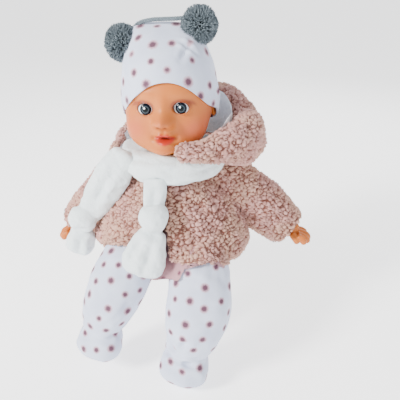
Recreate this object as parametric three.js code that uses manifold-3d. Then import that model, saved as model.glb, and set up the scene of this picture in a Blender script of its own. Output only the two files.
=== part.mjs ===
// Soft-bodied baby doll with a voice unit in its belly, sitting with its legs hanging over an edge.
// Millimetres. The seat's flat underside is z = 0 and the doll faces -Y, so +X is the doll's left.
import * as THREE from 'three';
import Module from 'manifold-3d';
import { mergeVertices } from 'three/addons/utils/BufferGeometryUtils.js';

const wasm = await Module();
wasm.setup();

// ---------------------------------------------------------------------------------------------
// Driving dimensions
// ---------------------------------------------------------------------------------------------
const GAP = 0.4; // between pieces that touch on the real doll
const SOFT_GAP = 0.9; // between layers of clothing
const HEAD_WIDTH = 92;
const HEAD_CENTRE = new THREE.Vector3(0, -4, 186);
const HEAD_WALL = 3;
const HEAD_SWEEP_RADIUS = 57.5; // what the turning head and hat need round the neck's axis
const JAW_CLEARANCE_Z = 128.5; // the scarf stays under this inside the sweep radius
const EYE_RADIUS = 8.6;
const EYE_CENTRES = { right_eye: [-16.5, -42.6, 177.5], left_eye: [17.5, -42.6, 179.5] };
const NECK_RADIUS = 16;
const POMPOM_RADIUS = 17.5;
const SEAT_DEPTH = 54;
const TIE_WIDTH = 3;

const ARMHOLE_NORMAL = new THREE.Vector3(0.77, 0, 0.64).normalize(); // the doll's left side
const ARMHOLE_OFFSET = 87; // the armhole plane's distance from the origin
const SHOULDER = new THREE.Vector3(38, 6, 100);
const RIGHT_ARM_DROP = THREE.MathUtils.degToRad(6); // how much lower the right arm hangs
const COARSE_GROW = 3.2; // what a cutter with few sides is grown by, so that its flats clear too
const HIP = new THREE.Vector3(28, -30, 28);
const HIP_END_RADIUS = 25.5;
const LIMB_MARGIN = 8.5; // how far the limb lies inside the baggy trouser leg
const HIP_LIFT = { half: 2, grow: 5 }; // the legs lift by twice half, in degrees

const CASE = { x0: -27, x1: 27, y0: 10, split: 24, y1: 37.5, z0: 22, z1: 80, wall: 2 };
const BAY = { x0: -20.2, x1: 14.2, z0: 30, z1: 77, floor: 25.4 };
const CELL = { radius: 5.2, length: 44.5, xs: [-14.5, -3, 8.5] };
const BUTTON = { z: 40, radius: 6, flange: 8 };

// ---------------------------------------------------------------------------------------------
// Shape helpers
// ---------------------------------------------------------------------------------------------
function solid(geometry) {
  const bare = geometry.clone();
  bare.deleteAttribute('normal');
  bare.deleteAttribute('uv');
  const merged = mergeVertices(bare, 1e-4);
  return new wasm.Manifold(new wasm.Mesh({
    numProp: 3,
    vertProperties: new Float32Array(merged.attributes.position.array),
    triVerts: new Uint32Array(merged.index.array),
  }));
}

function geometryOf(manifold) {
  const mesh = manifold.getMesh();
  const geometry = new THREE.BufferGeometry();
  geometry.setAttribute('position', new THREE.BufferAttribute(mesh.vertProperties, 3));
  geometry.setIndex(new THREE.BufferAttribute(mesh.triVerts, 1));
  geometry.computeVertexNormals();
  return geometry;
}

// Cloth cut by its neighbours can leave crumbs: the garment is the largest piece.
function largest(manifold) {
  const pieces = manifold.decompose();
  return pieces.reduce((best, piece) => (piece.volume() > best.volume() ? piece : best));
}

function without(body, ...cutters) {
  return cutters.reduce((rest, cutter) => rest.subtract(cutter), body);
}

function joined(first, ...others) {
  return others.reduce((whole, other) => whole.add(other), first);
}

function ball([x, y, z], [rx, ry, rz], around = 20, down = 14) {
  const geometry = new THREE.SphereGeometry(1, around, down);
  geometry.rotateX(Math.PI / 2);
  geometry.scale(rx, ry, rz);
  geometry.translate(x, y, z);
  return geometry;
}

function block([x0, y0, z0], [x1, y1, z1]) {
  const geometry = new THREE.BoxGeometry(x1 - x0, y1 - y0, z1 - z0);
  geometry.translate((x0 + x1) / 2, (y0 + y1) / 2, (z0 + z1) / 2);
  return geometry;
}

// A round bar between two points.
function bar(from, to, radius, sides = 20) {
  const a = new THREE.Vector3(...from);
  const b = new THREE.Vector3(...to);
  const along = b.clone().sub(a);
  const geometry = new THREE.CylinderGeometry(radius, radius, along.length(), sides);
  geometry.applyQuaternion(new THREE.Quaternion().setFromUnitVectors(
    new THREE.Vector3(0, 1, 0), along.normalize()));
  geometry.translate((a.x + b.x) / 2, (a.y + b.y) / 2, (a.z + b.z) / 2);
  return geometry;
}

// A finger, toe or bar with round ends.
function capsule(from, to, radius, sides = 7) {
  const a = new THREE.Vector3(...from);
  const b = new THREE.Vector3(...to);
  const along = b.clone().sub(a);
  const geometry = new THREE.CapsuleGeometry(radius, along.length(), 2, sides);
  geometry.applyQuaternion(new THREE.Quaternion().setFromUnitVectors(
    new THREE.Vector3(0, 1, 0), along.normalize()));
  geometry.translate((a.x + b.x) / 2, (a.y + b.y) / 2, (a.z + b.z) / 2);
  return geometry;
}

// A stuffed form through stations [x, y, z, half width, half depth], each an ellipse square to
// the path. `depth` is the direction that the half depth points along, `cap` the rounding at the
// ends, `grow` what is added all round, and `upright` keeps every section level.
function loft(stations, { depth = [0, 1, 0], sides = 18, rows = 10, cap = 0, grow = 0, upright = false } = {}) {
  const path = new THREE.CatmullRomCurve3(stations.map(([x, y, z]) => new THREE.Vector3(x, y, z)),
    false, 'centripetal');
  const sizes = new THREE.CatmullRomCurve3(stations.map(([, , , a, b]) => new THREE.Vector3(a, b, 0)),
    false, 'centripetal');
  const length = path.getLength();
  const endStops = cap > 0 ? [0.25, 0.75] : [];
  const stops = [];
  endStops.forEach((fraction) => {
    stops.push({ u: (cap / length) * (1 - Math.sqrt(1 - fraction ** 2)), closing: fraction });
  });
  for (let row = 0; row <= rows; row += 1) {
    const inner = cap / length;
    stops.push({ u: inner + (1 - 2 * inner) * (row / rows), closing: 1 });
  }
  [...endStops].reverse().forEach((fraction) => {
    stops.push({ u: 1 - (cap / length) * (1 - Math.sqrt(1 - fraction ** 2)), closing: fraction });
  });
  const geometry = new THREE.CylinderGeometry(1, 1, 1, sides, stops.length - 1);
  const position = geometry.attributes.position;
  const reference = new THREE.Vector3(...depth);
  const frames = stops.map(({ u, closing }) => {
    const t = path.getUtoTmapping(u);
    const tangent = upright ? new THREE.Vector3(0, 0, 1) : path.getTangent(t);
    const side = reference.clone().cross(tangent).normalize();
    const along = tangent.clone().cross(side);
    const size = sizes.getPoint(t);
    const centre = path.getPoint(t);
    if (grow > 0 && u === 0) centre.addScaledVector(tangent, -grow);
    if (grow > 0 && u === 1) centre.addScaledVector(tangent, grow);
    side.multiplyScalar((size.x + grow) * closing);
    along.multiplyScalar((size.y + grow) * closing);
    return { centre, side, along };
  });
  for (let i = 0; i < position.count; i += 1) {
    const row = Math.round((position.getY(i) + 0.5) * (stops.length - 1));
    const { centre, side, along } = frames[row];
    const point = centre.clone()
      .addScaledVector(side, position.getX(i))
      .addScaledVector(along, -position.getZ(i));
    position.setXYZ(i, point.x, point.y, point.z);
  }
  return geometry;
}

// Everything farther along a direction than an offset, as one large block.
function beyond(normal, offset) {
  const size = 600;
  const geometry = new THREE.BoxGeometry(size, size, size);
  geometry.translate(0, 0, size / 2);
  geometry.applyQuaternion(new THREE.Quaternion().setFromUnitVectors(new THREE.Vector3(0, 0, 1), normal));
  geometry.translate(normal.x * offset, normal.y * offset, normal.z * offset);
  return geometry;
}

function turned(geometry, pivot, axis, degrees) {
  const copy = geometry.clone();
  copy.translate(-pivot.x, -pivot.y, -pivot.z);
  copy.applyMatrix4(new THREE.Matrix4().makeRotationAxis(axis, THREE.MathUtils.degToRad(degrees)));
  copy.translate(pivot.x, pivot.y, pivot.z);
  return copy;
}

// A flat tie lying round a limb, between two of the limb's forms.
function band(outer, inner, along, offset) {
  const slab = solid(beyond(along, offset)).subtract(solid(beyond(along, offset + TIE_WIDTH)));
  return outer.subtract(inner).intersect(slab);
}

// side is 1 for the doll's left and -1 for its right.
function mirrored(vector, side) {
  return new THREE.Vector3(vector.x * side, vector.y, vector.z);
}

// An arm's stations are given for the left. The right arm also turns down about its shoulder.
function onSide(stations, side) {
  const drop = side < 0 ? RIGHT_ARM_DROP : 0;
  return stations.map(([x, y, z, ...sizes]) => {
    const out = x - SHOULDER.x;
    const rise = z - SHOULDER.z;
    return [side * (SHOULDER.x + out * Math.cos(drop) + rise * Math.sin(drop)), y,
      SHOULDER.z + rise * Math.cos(drop) - out * Math.sin(drop), ...sizes];
  });
}

const group = new THREE.Group();
const bodies = Object.fromEntries(['torso', 'head', 'left_arm', 'right_arm', 'left_leg', 'right_leg']
  .map((name) => {
    const body = new THREE.Group();
    body.name = name;
    group.add(body);
    return [name, body];
  }));

function piece(body, name, shape, color, roughness, metalness = 0) {
  const geometry = shape.isBufferGeometry ? shape : geometryOf(shape);
  const mesh = new THREE.Mesh(geometry, new THREE.MeshStandardMaterial({ color, roughness, metalness }));
  mesh.name = name;
  body.add(mesh);
  return mesh;
}

const COLOUR = {
  vinyl: 0xdca27a, cloth: 0xe8ddd0, coat: 0xcda5a0, lining: 0xf2f2f4, fleece: 0xe6efef, dots: 0xdfe3ec,
  tunic: 0xaf8790, pompom: 0x74848a, shell: 0xe9e9e4, board: 0x2f6b45, steel: 0xb9bcc0, dark: 0x33363a,
};

// ---------------------------------------------------------------------------------------------
// Cloth body and what ties it to the neck
// ---------------------------------------------------------------------------------------------
const TORSO = [
  [0, 18, 8, 24, 18], [0, 17, 22, 38, 30], [0, 15, 45, 40, 32], [0, 12, 68, 38, 30],
  [0, 9, 86, 34, 28], [0, 3, 97, 23, 21], [0, 0, 104, 19.5, 19.5], [0, 0, 113, 19, 19],
];
const torsoForm = (grow) => solid(loft(TORSO, { sides: 16, rows: 9, grow, upright: true }));

function makeBody(body) {
  const pocket = solid(block([-28, -9, 16.5], [28, 60, 78]));
  const neckHole = solid(bar([0, 0, 98], [0, 0, 120], NECK_RADIUS + GAP, 24));
  piece(body, 'cloth_body', without(torsoForm(0), pocket, neckHole), COLOUR.cloth, 0.95);

  const flapBand = solid(block([-33, 14, 13], [33, 70, 82]));
  piece(body, 'pocket_flap', torsoForm(2).subtract(torsoForm(GAP)).intersect(flapBand), COLOUR.cloth, 0.95);

  const tie = new THREE.TorusGeometry(22.6, 1.2, 5, 20);
  const tieMesh = piece(body, 'neck_tie', tie, COLOUR.lining, 0.5);
  tieMesh.position.set(0, 0, 109);
}

// ---------------------------------------------------------------------------------------------
// Voice unit
// ---------------------------------------------------------------------------------------------
function screw(head, tip, headRadius, shankRadius) {
  const under = [head[0], head[1] - 1.5, head[2]];
  return joined(solid(bar(head, under, headRadius, 12)), solid(bar(under, tip, shankRadius, 12)));
}

// It is drawn 10 mm behind and 4 mm above where it sits in the cloth body.
function makeVoiceUnit(torso) {
  const body = new THREE.Group();
  body.name = 'voice_unit';
  body.position.set(0, -10, -4);
  torso.add(body);
  const { x0, x1, y0, split, y1, z0, z1, wall } = CASE;
  const screws = [[-24.5, 53], [19, 27], [19, 75]];
  const bosses = screws.map(([x, z]) => solid(bar([x, y0 + 1, z], [x, split, z], 2.4, 14)));
  const blindHoles = screws.map(([x, z]) => solid(bar([x, y0 + 3, z], [x, split + 1, z], 1.6, 12)));
  const frontHollow = solid(block([x0 + wall, y0 + wall, z0 + wall], [x1 - wall, split + 1, z1 - wall]));
  const grilleHoles = [-6, 0, 6].map((x) => solid(bar([x, y0 - 1, 62], [x, y0 + 3, 62], 2, 12)));
  const buttonHole = solid(bar([0, y0 - 1, BUTTON.z], [0, y0 + 3, BUTTON.z], BUTTON.radius + GAP, 20));
  const frontBox = solid(block([x0, y0, z0], [x1, split, z1])).subtract(frontHollow);
  piece(body, 'voice_case_front', without(joined(frontBox, ...bosses), ...blindHoles, ...grilleHoles,
    buttonHole), COLOUR.shell, 0.45);

  const doorRecess = solid(block([BAY.x0 - 1.8, 35.7, 23.2], [BAY.x1 + 1.8, y1 + 1, 78.8]));
  const bay = solid(block([BAY.x0, BAY.floor, BAY.z0], [BAY.x1, y1 + 1, BAY.z1]));
  const switchRoom = solid(block([16.2, split, 38], [22.8, y1 - wall, 66]));
  const slot = solid(block([17.6, split, 46.6], [21.4, y1 + 1, 55.4]));
  const throughHoles = screws.map(([x, z]) => solid(bar([x, split, z], [x, y1 + 1, z], 1.6, 12)));
  const headSinks = screws.map(([x, z]) => solid(bar([x, y1 - 2, z], [x, y1 + 1, z], 2.8, 12)));
  const doorScrewHole = solid(bar([-3, 28, 26.5], [-3, 37, 26.5], 1.6, 12));
  piece(body, 'voice_case_back', without(solid(block([x0, split + GAP, z0], [x1, y1, z1])), doorRecess,
    bay, switchRoom, slot, ...throughHoles, ...headSinks, doorScrewHole), COLOUR.shell, 0.45);

  screws.forEach(([x, z], index) => {
    piece(body, `case_screw_${index + 1}`, screw([x, y1 - 0.1, z], [x, y0 + 5, z], 2.2, 1.2),
      COLOUR.steel, 0.35, 1);
  });

  const doorHole = solid(bar([-3, 35, 26.5], [-3, 39, 26.5], 1.6, 12));
  const doorSink = solid(bar([-3, 36.9, 26.5], [-3, 39, 26.5], 2.6, 12));
  const door = solid(block([BAY.x0 - 1.4, 36, 23.6], [BAY.x1 + 1.4, y1, 78.4]));
  piece(body, 'battery_door', without(door, doorHole, doorSink), COLOUR.shell, 0.45);
  const doorScrew = joined(solid(bar([-3, 37.4, 26.5], [-3, 37.25, 26.5], 2.2, 12)),
    solid(bar([-3, 37.25, 26.5], [-3, 30, 26.5], 1.2, 12)));
  piece(body, 'battery_door_screw', doorScrew, COLOUR.steel, 0.35, 1);

  CELL.xs.forEach((x, index) => {
    const z = BAY.z0 + 1.2;
    const can = solid(bar([x, 30.8, z], [x, 30.8, z + CELL.length - 1], CELL.radius, 20));
    const nub = solid(bar([x, 30.8, z + 1], [x, 30.8, z + CELL.length], 1.9, 12));
    piece(body, `battery_cell_${index + 1}`, joined(can, nub), COLOUR.dark, 0.35, 0.4);
  });

  piece(body, 'circuit_board', block([-15.5, 20.4, 31], [15.5, 22, 73]), COLOUR.board, 0.5);
  const cone = new THREE.LatheGeometry([[0, 0], [12, 0], [12, 1.4], [6, 5.2], [0, 5.2]]
    .map(([r, z]) => new THREE.Vector2(r, z)), 20);
  const speaker = piece(body, 'speaker', cone, COLOUR.dark, 0.5);
  speaker.position.set(0, y0 + wall + GAP, 62);

  const stem = solid(bar([0, 5, BUTTON.z], [0, 13.5, BUTTON.z], BUTTON.radius, 20));
  const flange = solid(bar([0, 12.5, BUTTON.z], [0, 14.4, BUTTON.z], BUTTON.flange, 20));
  piece(body, 'press_button', joined(stem, flange), COLOUR.coat, 0.4);

  const turns = 2.5;
  const helix = new THREE.CatmullRomCurve3(Array.from({ length: 26 }, (_, index) => {
    const angle = (index / 25) * turns * 2 * Math.PI;
    return new THREE.Vector3(4 * Math.cos(angle), 15.2 + (index / 25) * 4.4, BUTTON.z + 4 * Math.sin(angle));
  }));
  const wire = new THREE.Shape();
  wire.absarc(0, 0, 0.35, 0, 2 * Math.PI);
  piece(body, 'button_spring', new THREE.ExtrudeGeometry(wire,
    { steps: 24, curveSegments: 3, extrudePath: helix, bevelEnabled: false }), COLOUR.steel, 0.3, 1);

  const knob = solid(block([17.4, 38, 46.9], [21.6, 40, 51.9]));
  const shank = solid(block([18.2, 31, 47.2], [20.8, 38.5, 51.2]));
  piece(body, 'power_switch', joined(knob, shank), COLOUR.dark, 0.45);
}

// ---------------------------------------------------------------------------------------------
// Arms: cloth upper arm, vinyl forearm and hand, the tie between them, and the sleeve over all
// ---------------------------------------------------------------------------------------------
const SLEEVE = [
  [37, 6, 98, 22, 23], [55, 9, 91, 29, 28], [80, 13, 71, 29, 27], [103, 17, 50, 26, 26],
  [122, 20, 33, 24, 24], [136, 22, 21, 22, 22],
];
const UPPER_ARM = [[40, 7, 98, 16, 16], [62, 10, 86, 16, 16], [82, 13, 69, 14, 14], [97, 15, 56, 11, 11]];
const FOREARM = [[99, 16, 54, 12.5, 12.5], [112, 18, 43, 12.5, 12.5], [126, 21, 30, 10.5, 10.5],
  [138, 22, 19, 9, 9], [146, 22, 13, 10, 7], [152, 22, 9, 9, 6]];

function sleeveForm(side, grow) {
  const outer = solid(loft(onSide(SLEEVE, side), { sides: 14, rows: 7, grow }));
  return outer.intersect(solid(beyond(mirrored(ARMHOLE_NORMAL, side), ARMHOLE_OFFSET + GAP / 2)));
}

// The sleeve's outer form at steps of its swing forward, for cutting what it must clear.
function sleeveSweep(side, steps) {
  const outer = loft(onSide(SLEEVE, side), { sides: 10, rows: 6, grow: COARSE_GROW });
  const axis = mirrored(ARMHOLE_NORMAL, side).multiplyScalar(-side);
  return steps.map((degrees) => solid(turned(outer, mirrored(SHOULDER, side), axis, degrees)));
}

function makeArm(body, label, side) {
  const inward = solid(beyond(mirrored(ARMHOLE_NORMAL, side), ARMHOLE_OFFSET + GAP));
  const armRoom = [
    solid(loft(onSide(UPPER_ARM, side), { sides: 10, rows: 4, grow: 2 })),
    solid(loft(onSide([[16, 3, 114, 16, 16], ...UPPER_ARM.slice(0, 2)], side), { sides: 10, rows: 2, grow: 1.9 })),
    solid(loft(onSide([...FOREARM.slice(0, 4), [160, 24, 0, 10.5, 10.5]], side), { sides: 10, rows: 4, grow: 2 })),
  ];
  piece(body, `${label}_sleeve`, without(sleeveForm(side, 0), ...armRoom), COLOUR.coat, 0.97);

  const armForm = (grow) => solid(loft(onSide(UPPER_ARM, side), { sides: 10, rows: 4, grow }));
  const arm = armForm(0).intersect(inward);
  piece(body, `${label}_upper_arm`, arm, COLOUR.cloth, 0.95);
  const [tie, beyondTie] = onSide([[88, 14, 63.5], [101, 16, 52.5]], side)
    .map((point) => new THREE.Vector3(...point));
  const along = beyondTie.sub(tie).normalize();
  const atTie = along.dot(tie);
  piece(body, `${label}_arm_tie`, band(armForm(1.5), armForm(GAP), along, atTie), COLOUR.lining, 0.5);

  const fingers = [[154, 10, 5.5], [158, 15.5, 4.5], [159, 22, 4.5], [156.5, 28.5, 5]].map(([x, y, z]) => {
    const knuckle = [148, 12 + (y - 10) * 0.85, 13];
    return solid(capsule(...onSide([knuckle, [x, y, z]], side), 3.7));
  });
  const thumb = solid(capsule(...onSide([[140, 13, 16], [145, 6.5, 8]], side), 3.8));
  const armEnd = solid(bar(...onSide([[90, 14, 62], [98.3, 15.7, 54.9]], side), 14));
  const forearm = solid(loft(onSide(FOREARM, side), { sides: 10, rows: 5 }));
  piece(body, `${label}_forearm`, joined(forearm, ...fingers, thumb).subtract(arm.add(armEnd)),
    COLOUR.vinyl, 0.5);
}

// ---------------------------------------------------------------------------------------------
// Legs: cloth thigh, vinyl lower leg with its foot, the tie, and the footed trouser leg
// ---------------------------------------------------------------------------------------------
const TROUSER_LEGS = {
  left: [[HIP.x, -26, 28, 25, 25.5], [32, -48, 24, 29, 25.5], [38, -76, 7, 32, 26], [38, -95, -18, 33, 27],
    [33, -101, -43, 30, 25], [27, -103, -63, 23, 22], [25, -111, -79, 25.5, 25], [24, -121, -91, 21, 17]],
  right: [[-HIP.x, -26, 28, 25, 25.5], [-35, -46, 24, 29, 25.5], [-43, -70, 9, 31, 26], [-52, -85, -12, 30, 26],
    [-61, -91, -33, 27, 24], [-67, -92, -52, 21, 21], [-69, -100, -67, 24, 23], [-70, -109, -78, 20, 16]],
};

function insideLeg(stations, margin) {
  return stations.map(([x, y, z, a, b]) => [x, y, z, a - margin, b - margin]);
}

// Behind its hinge a leg is round about the hinge's axis, so it turns in the seat's hollow.
function hipRounded(form, label, radius) {
  const x = label === 'left' ? HIP.x : -HIP.x;
  const round = solid(bar([x - 60, HIP.y, HIP.z], [x + 60, HIP.y, HIP.z], radius, 24));
  const front = solid(block([x - 60, -300, -200], [x + 60, HIP.y, 200]));
  return form.intersect(round.add(front));
}

function legForm(label, margin, cap) {
  const form = solid(loft(insideLeg(TROUSER_LEGS[label], margin),
    { depth: [0, 0.7, -0.7], sides: 12, rows: 8, cap }));
  return hipRounded(form, label, HIP_END_RADIUS - margin);
}

// The room that a leg needs at some of its angles, in degrees lowered.
function legRoom(label, degrees, grow) {
  const centre = new THREE.Vector3(0, HIP.y, HIP.z);
  const form = loft(TROUSER_LEGS[label].slice(0, 7), { depth: [0, 0.7, -0.7], sides: 10, rows: 8, grow });
  return solid(turned(form, centre, new THREE.Vector3(1, 0, 0), degrees));
}

function makeLeg(body, label) {
  const stations = TROUSER_LEGS[label];
  const openHip = solid(loft(insideLeg([[stations[0][0], -4, 30, 25, 25], ...stations.slice(0, 2)], 5),
    { depth: [0, 0.7, -0.7], sides: 10, rows: 2 }));
  piece(body, `${label}_trouser_leg`, without(legForm(label, 0, 10), legForm(label, 3.5, 10),
    legForm(label, LIMB_MARGIN - 1, 12), openHip),
    COLOUR.dots, 0.9);

  const limb = legForm(label, LIMB_MARGIN, 12);
  const knee = new THREE.Vector3(...stations[3].slice(0, 3));
  const down = new THREE.Vector3(...stations[4].slice(0, 3)).sub(knee).normalize();
  const thigh = limb.intersect(solid(beyond(down.clone().negate(), -down.dot(knee) + GAP / 2)));
  piece(body, `${label}_thigh`, thigh, COLOUR.cloth, 0.95);
  const tie = band(legForm(label, LIMB_MARGIN - 1.9, 12), legForm(label, LIMB_MARGIN - GAP, 12), down, down.dot(knee) - 2 * TIE_WIDTH);
  piece(body, `${label}_leg_tie`, tie, COLOUR.lining, 0.5);
  piece(body, `${label}_lower_leg`, limb.intersect(solid(beyond(down, down.dot(knee) + GAP / 2))),
    COLOUR.vinyl, 0.5);
}

// ---------------------------------------------------------------------------------------------
// Clothes on the torso
// ---------------------------------------------------------------------------------------------
function makeClothes(body) {
  const legs = ['left', 'right'].map((label) => legRoom(label, -HIP_LIFT.half, HIP_LIFT.grow));
  const lowered = ['left', 'right'].flatMap((label) => [24, 47, 70].map((degrees) => legRoom(label, degrees, 3)));
  const sleeves = [1, -1].flatMap((side) => sleeveSweep(side, [-10, 7, 25, 42, 60]));
  const innerSide = [1, -1].map((side) => solid(beyond(mirrored(ARMHOLE_NORMAL, side), ARMHOLE_OFFSET - GAP / 2)));
  const torso = torsoForm(2 + SOFT_GAP);

  const seatForm = (grow) => solid(loft([[0, 18, 0, 46, SEAT_DEPTH / 2], [0, 18, 12, 55, 33],
    [0, 14, 28, 57, 36], [0, 13, 44, 50, 36], [0, 13, 52, 46, 35.5]], { rows: 4, sides: 16, grow, upright: true }));
  const hipHollows = [1, -1].map((side) => solid(bar([(HIP.x - 34) * side, HIP.y, HIP.z],
    [(HIP.x + 45) * side, HIP.y, HIP.z], HIP_END_RADIUS + SOFT_GAP, 24)));
  const seat = largest(without(seatForm(0), torso, ...hipHollows, ...legs, ...lowered));
  piece(body, 'trousers_seat', seat, COLOUR.dots, 0.9);

  const tunicForm = (grow) => solid(loft([[2, -26, 17, 56, 56], [1, -16, 34, 58, 55], [0, 2, 54, 51, 42],
    [0, 8, 76, 44, 36], [0, 6, 90, 34, 28]], { rows: 5, sides: 16, grow, upright: true }));
  const tunic = largest(without(tunicForm(0), torso, seatForm(SOFT_GAP), ...hipHollows, ...legs,
    ...lowered, ...innerSide));
  piece(body, 'tunic', tunic, COLOUR.tunic, 0.92);

  const coatForm = (grow) => solid(loft([[0, -8, 14, 82, 58], [0, -8, 30, 88, 60], [0, -4, 52, 74, 54],
    [0, 0, 76, 60, 46], [0, 2, 98, 46, 38], [0, 1, 112, 33, 31]], { rows: 7, sides: 18, grow, upright: true }));
  const collarRoom = solid(bar([0, 0, 90], [0, 0, 125], 24.6, 24));
  const coat = without(coatForm(0), torso, tunicForm(SOFT_GAP), seatForm(SOFT_GAP), collarRoom, ...hipHollows,
    ...legs, ...lowered, ...innerSide);
  piece(body, 'coat_body', largest(coat), COLOUR.coat, 0.97);

  const neckRoom = solid(bar([0, 0, 97], [0, 0, 300], 24.6, 24));
  const headRoom = solid(bar([0, 0, JAW_CLEARANCE_Z], [0, 0, 300], HEAD_SWEEP_RADIUS, 36));
  const overCoat = coatForm(SOFT_GAP);

  // The wrap: a closed ring of fleece, lower at the front.
  const wrapForm = (grow) => {
    const ring = new THREE.TorusGeometry(42, 15 + grow, 9, 20);
    ring.scale(1.02, 1.08, 0.9);
    ring.rotateX(THREE.MathUtils.degToRad(6));
    ring.translate(4, -3, 119);
    return solid(ring);
  };
  const wrap = largest(without(wrapForm(0), neckRoom, headRoom, overCoat, ...sleeves));
  piece(body, 'scarf_wrap', wrap, COLOUR.fleece, 0.95);

  const frontTail = joined(
    solid(loft([[-9, -55, 108, 10, 6], [-10, -66, 90, 11, 6], [-10, -71, 76, 13, 9]],
      { rows: 2, sides: 8, cap: 3 })),
    solid(ball([-9, -74, 74], [14, 11, 14], 12, 7)),
    solid(loft([[-10, -76, 64, 13, 9], [-14, -82, 46, 17, 11], [-18, -88, 26, 18, 12], [-20, -90, 14, 12, 8]],
      { rows: 3, sides: 10, cap: 8 })));
  piece(body, 'scarf_front_tail', largest(without(frontTail, wrapForm(SOFT_GAP), overCoat,
    tunicForm(SOFT_GAP), legForm('right', -HIP_LIFT.grow - 1.5, 10))), COLOUR.fleece, 0.95);

  const sleeveAtRest = solid(loft(onSide(SLEEVE, -1), { sides: 14, rows: 7, grow: SOFT_GAP }));
  const rightTail = joined(
    solid(loft([[-46, -36, 128, 15, 9], [-58, -36, 108, 16, 8], [-74, -34, 78, 15, 8], [-88, -30, 56, 14, 9]],
      { rows: 3, sides: 8, cap: 4 })),
    solid(ball([-96, -29, 45], [15, 12, 15], 12, 7)),
    solid(loft([[-98, -31, 36, 13, 9], [-104, -33, 20, 17, 11], [-108, -34, 6, 13, 9]],
      { rows: 2, sides: 10, cap: 8 })));
  piece(body, 'scarf_right_tail', largest(without(rightTail, wrapForm(SOFT_GAP), overCoat, sleeveAtRest,
    headRoom)), COLOUR.fleece, 0.95);

  // The hood lies behind the head and slouches towards the doll's left.
  const hoodForm = solid(loft([[-64, -8, 122, 7, 7], [-66, 14, 124, 9, 10], [-60, 44, 129, 14, 17],
    [-22, 76, 138, 21, 28], [34, 76, 146, 23, 33], [64, 44, 146, 19, 32], [78, 8, 138, 19, 26],
    [76, -18, 136, 19, 18], [56, -42, 138, 12, 14], [26, -60, 139, 7, 9]],
    { depth: [0, 0, 1], rows: 13, sides: 12, cap: 5 }));
  const liningOuter = solid(bar([0, 0, 90], [0, 0, 300], HEAD_SWEEP_RADIUS + 4, 36));
  const hoodClear = without(hoodForm, headRoom, wrapForm(SOFT_GAP), overCoat, ...sleeves);
  piece(body, 'hood', largest(hoodClear.subtract(
    solid(bar([0, 0, 90], [0, 0, 300], HEAD_SWEEP_RADIUS + 4 + GAP, 36)))), COLOUR.coat, 0.97);
  piece(body, 'hood_lining', largest(hoodClear.intersect(liningOuter)), COLOUR.lining, 0.95);
}

// ---------------------------------------------------------------------------------------------
// Head
// ---------------------------------------------------------------------------------------------
const HEAD_RADII = [HEAD_WIDTH / 2, 50, 54];
const HAT_TOP = [[-1, -2, 210, 47, 50], [-2, -1, 224, 43, 43], [-3, 0, 237, 38, 31], [-4, 1, 246, 33, 18],
  [-4, 1, 251, 29, 8]];
const headForm = (grow) => {
  const { x, y, z } = HEAD_CENTRE;
  return solid(ball([x, y, z], HEAD_RADII.map((radius) => radius + grow), 20, 12));
};

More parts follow.
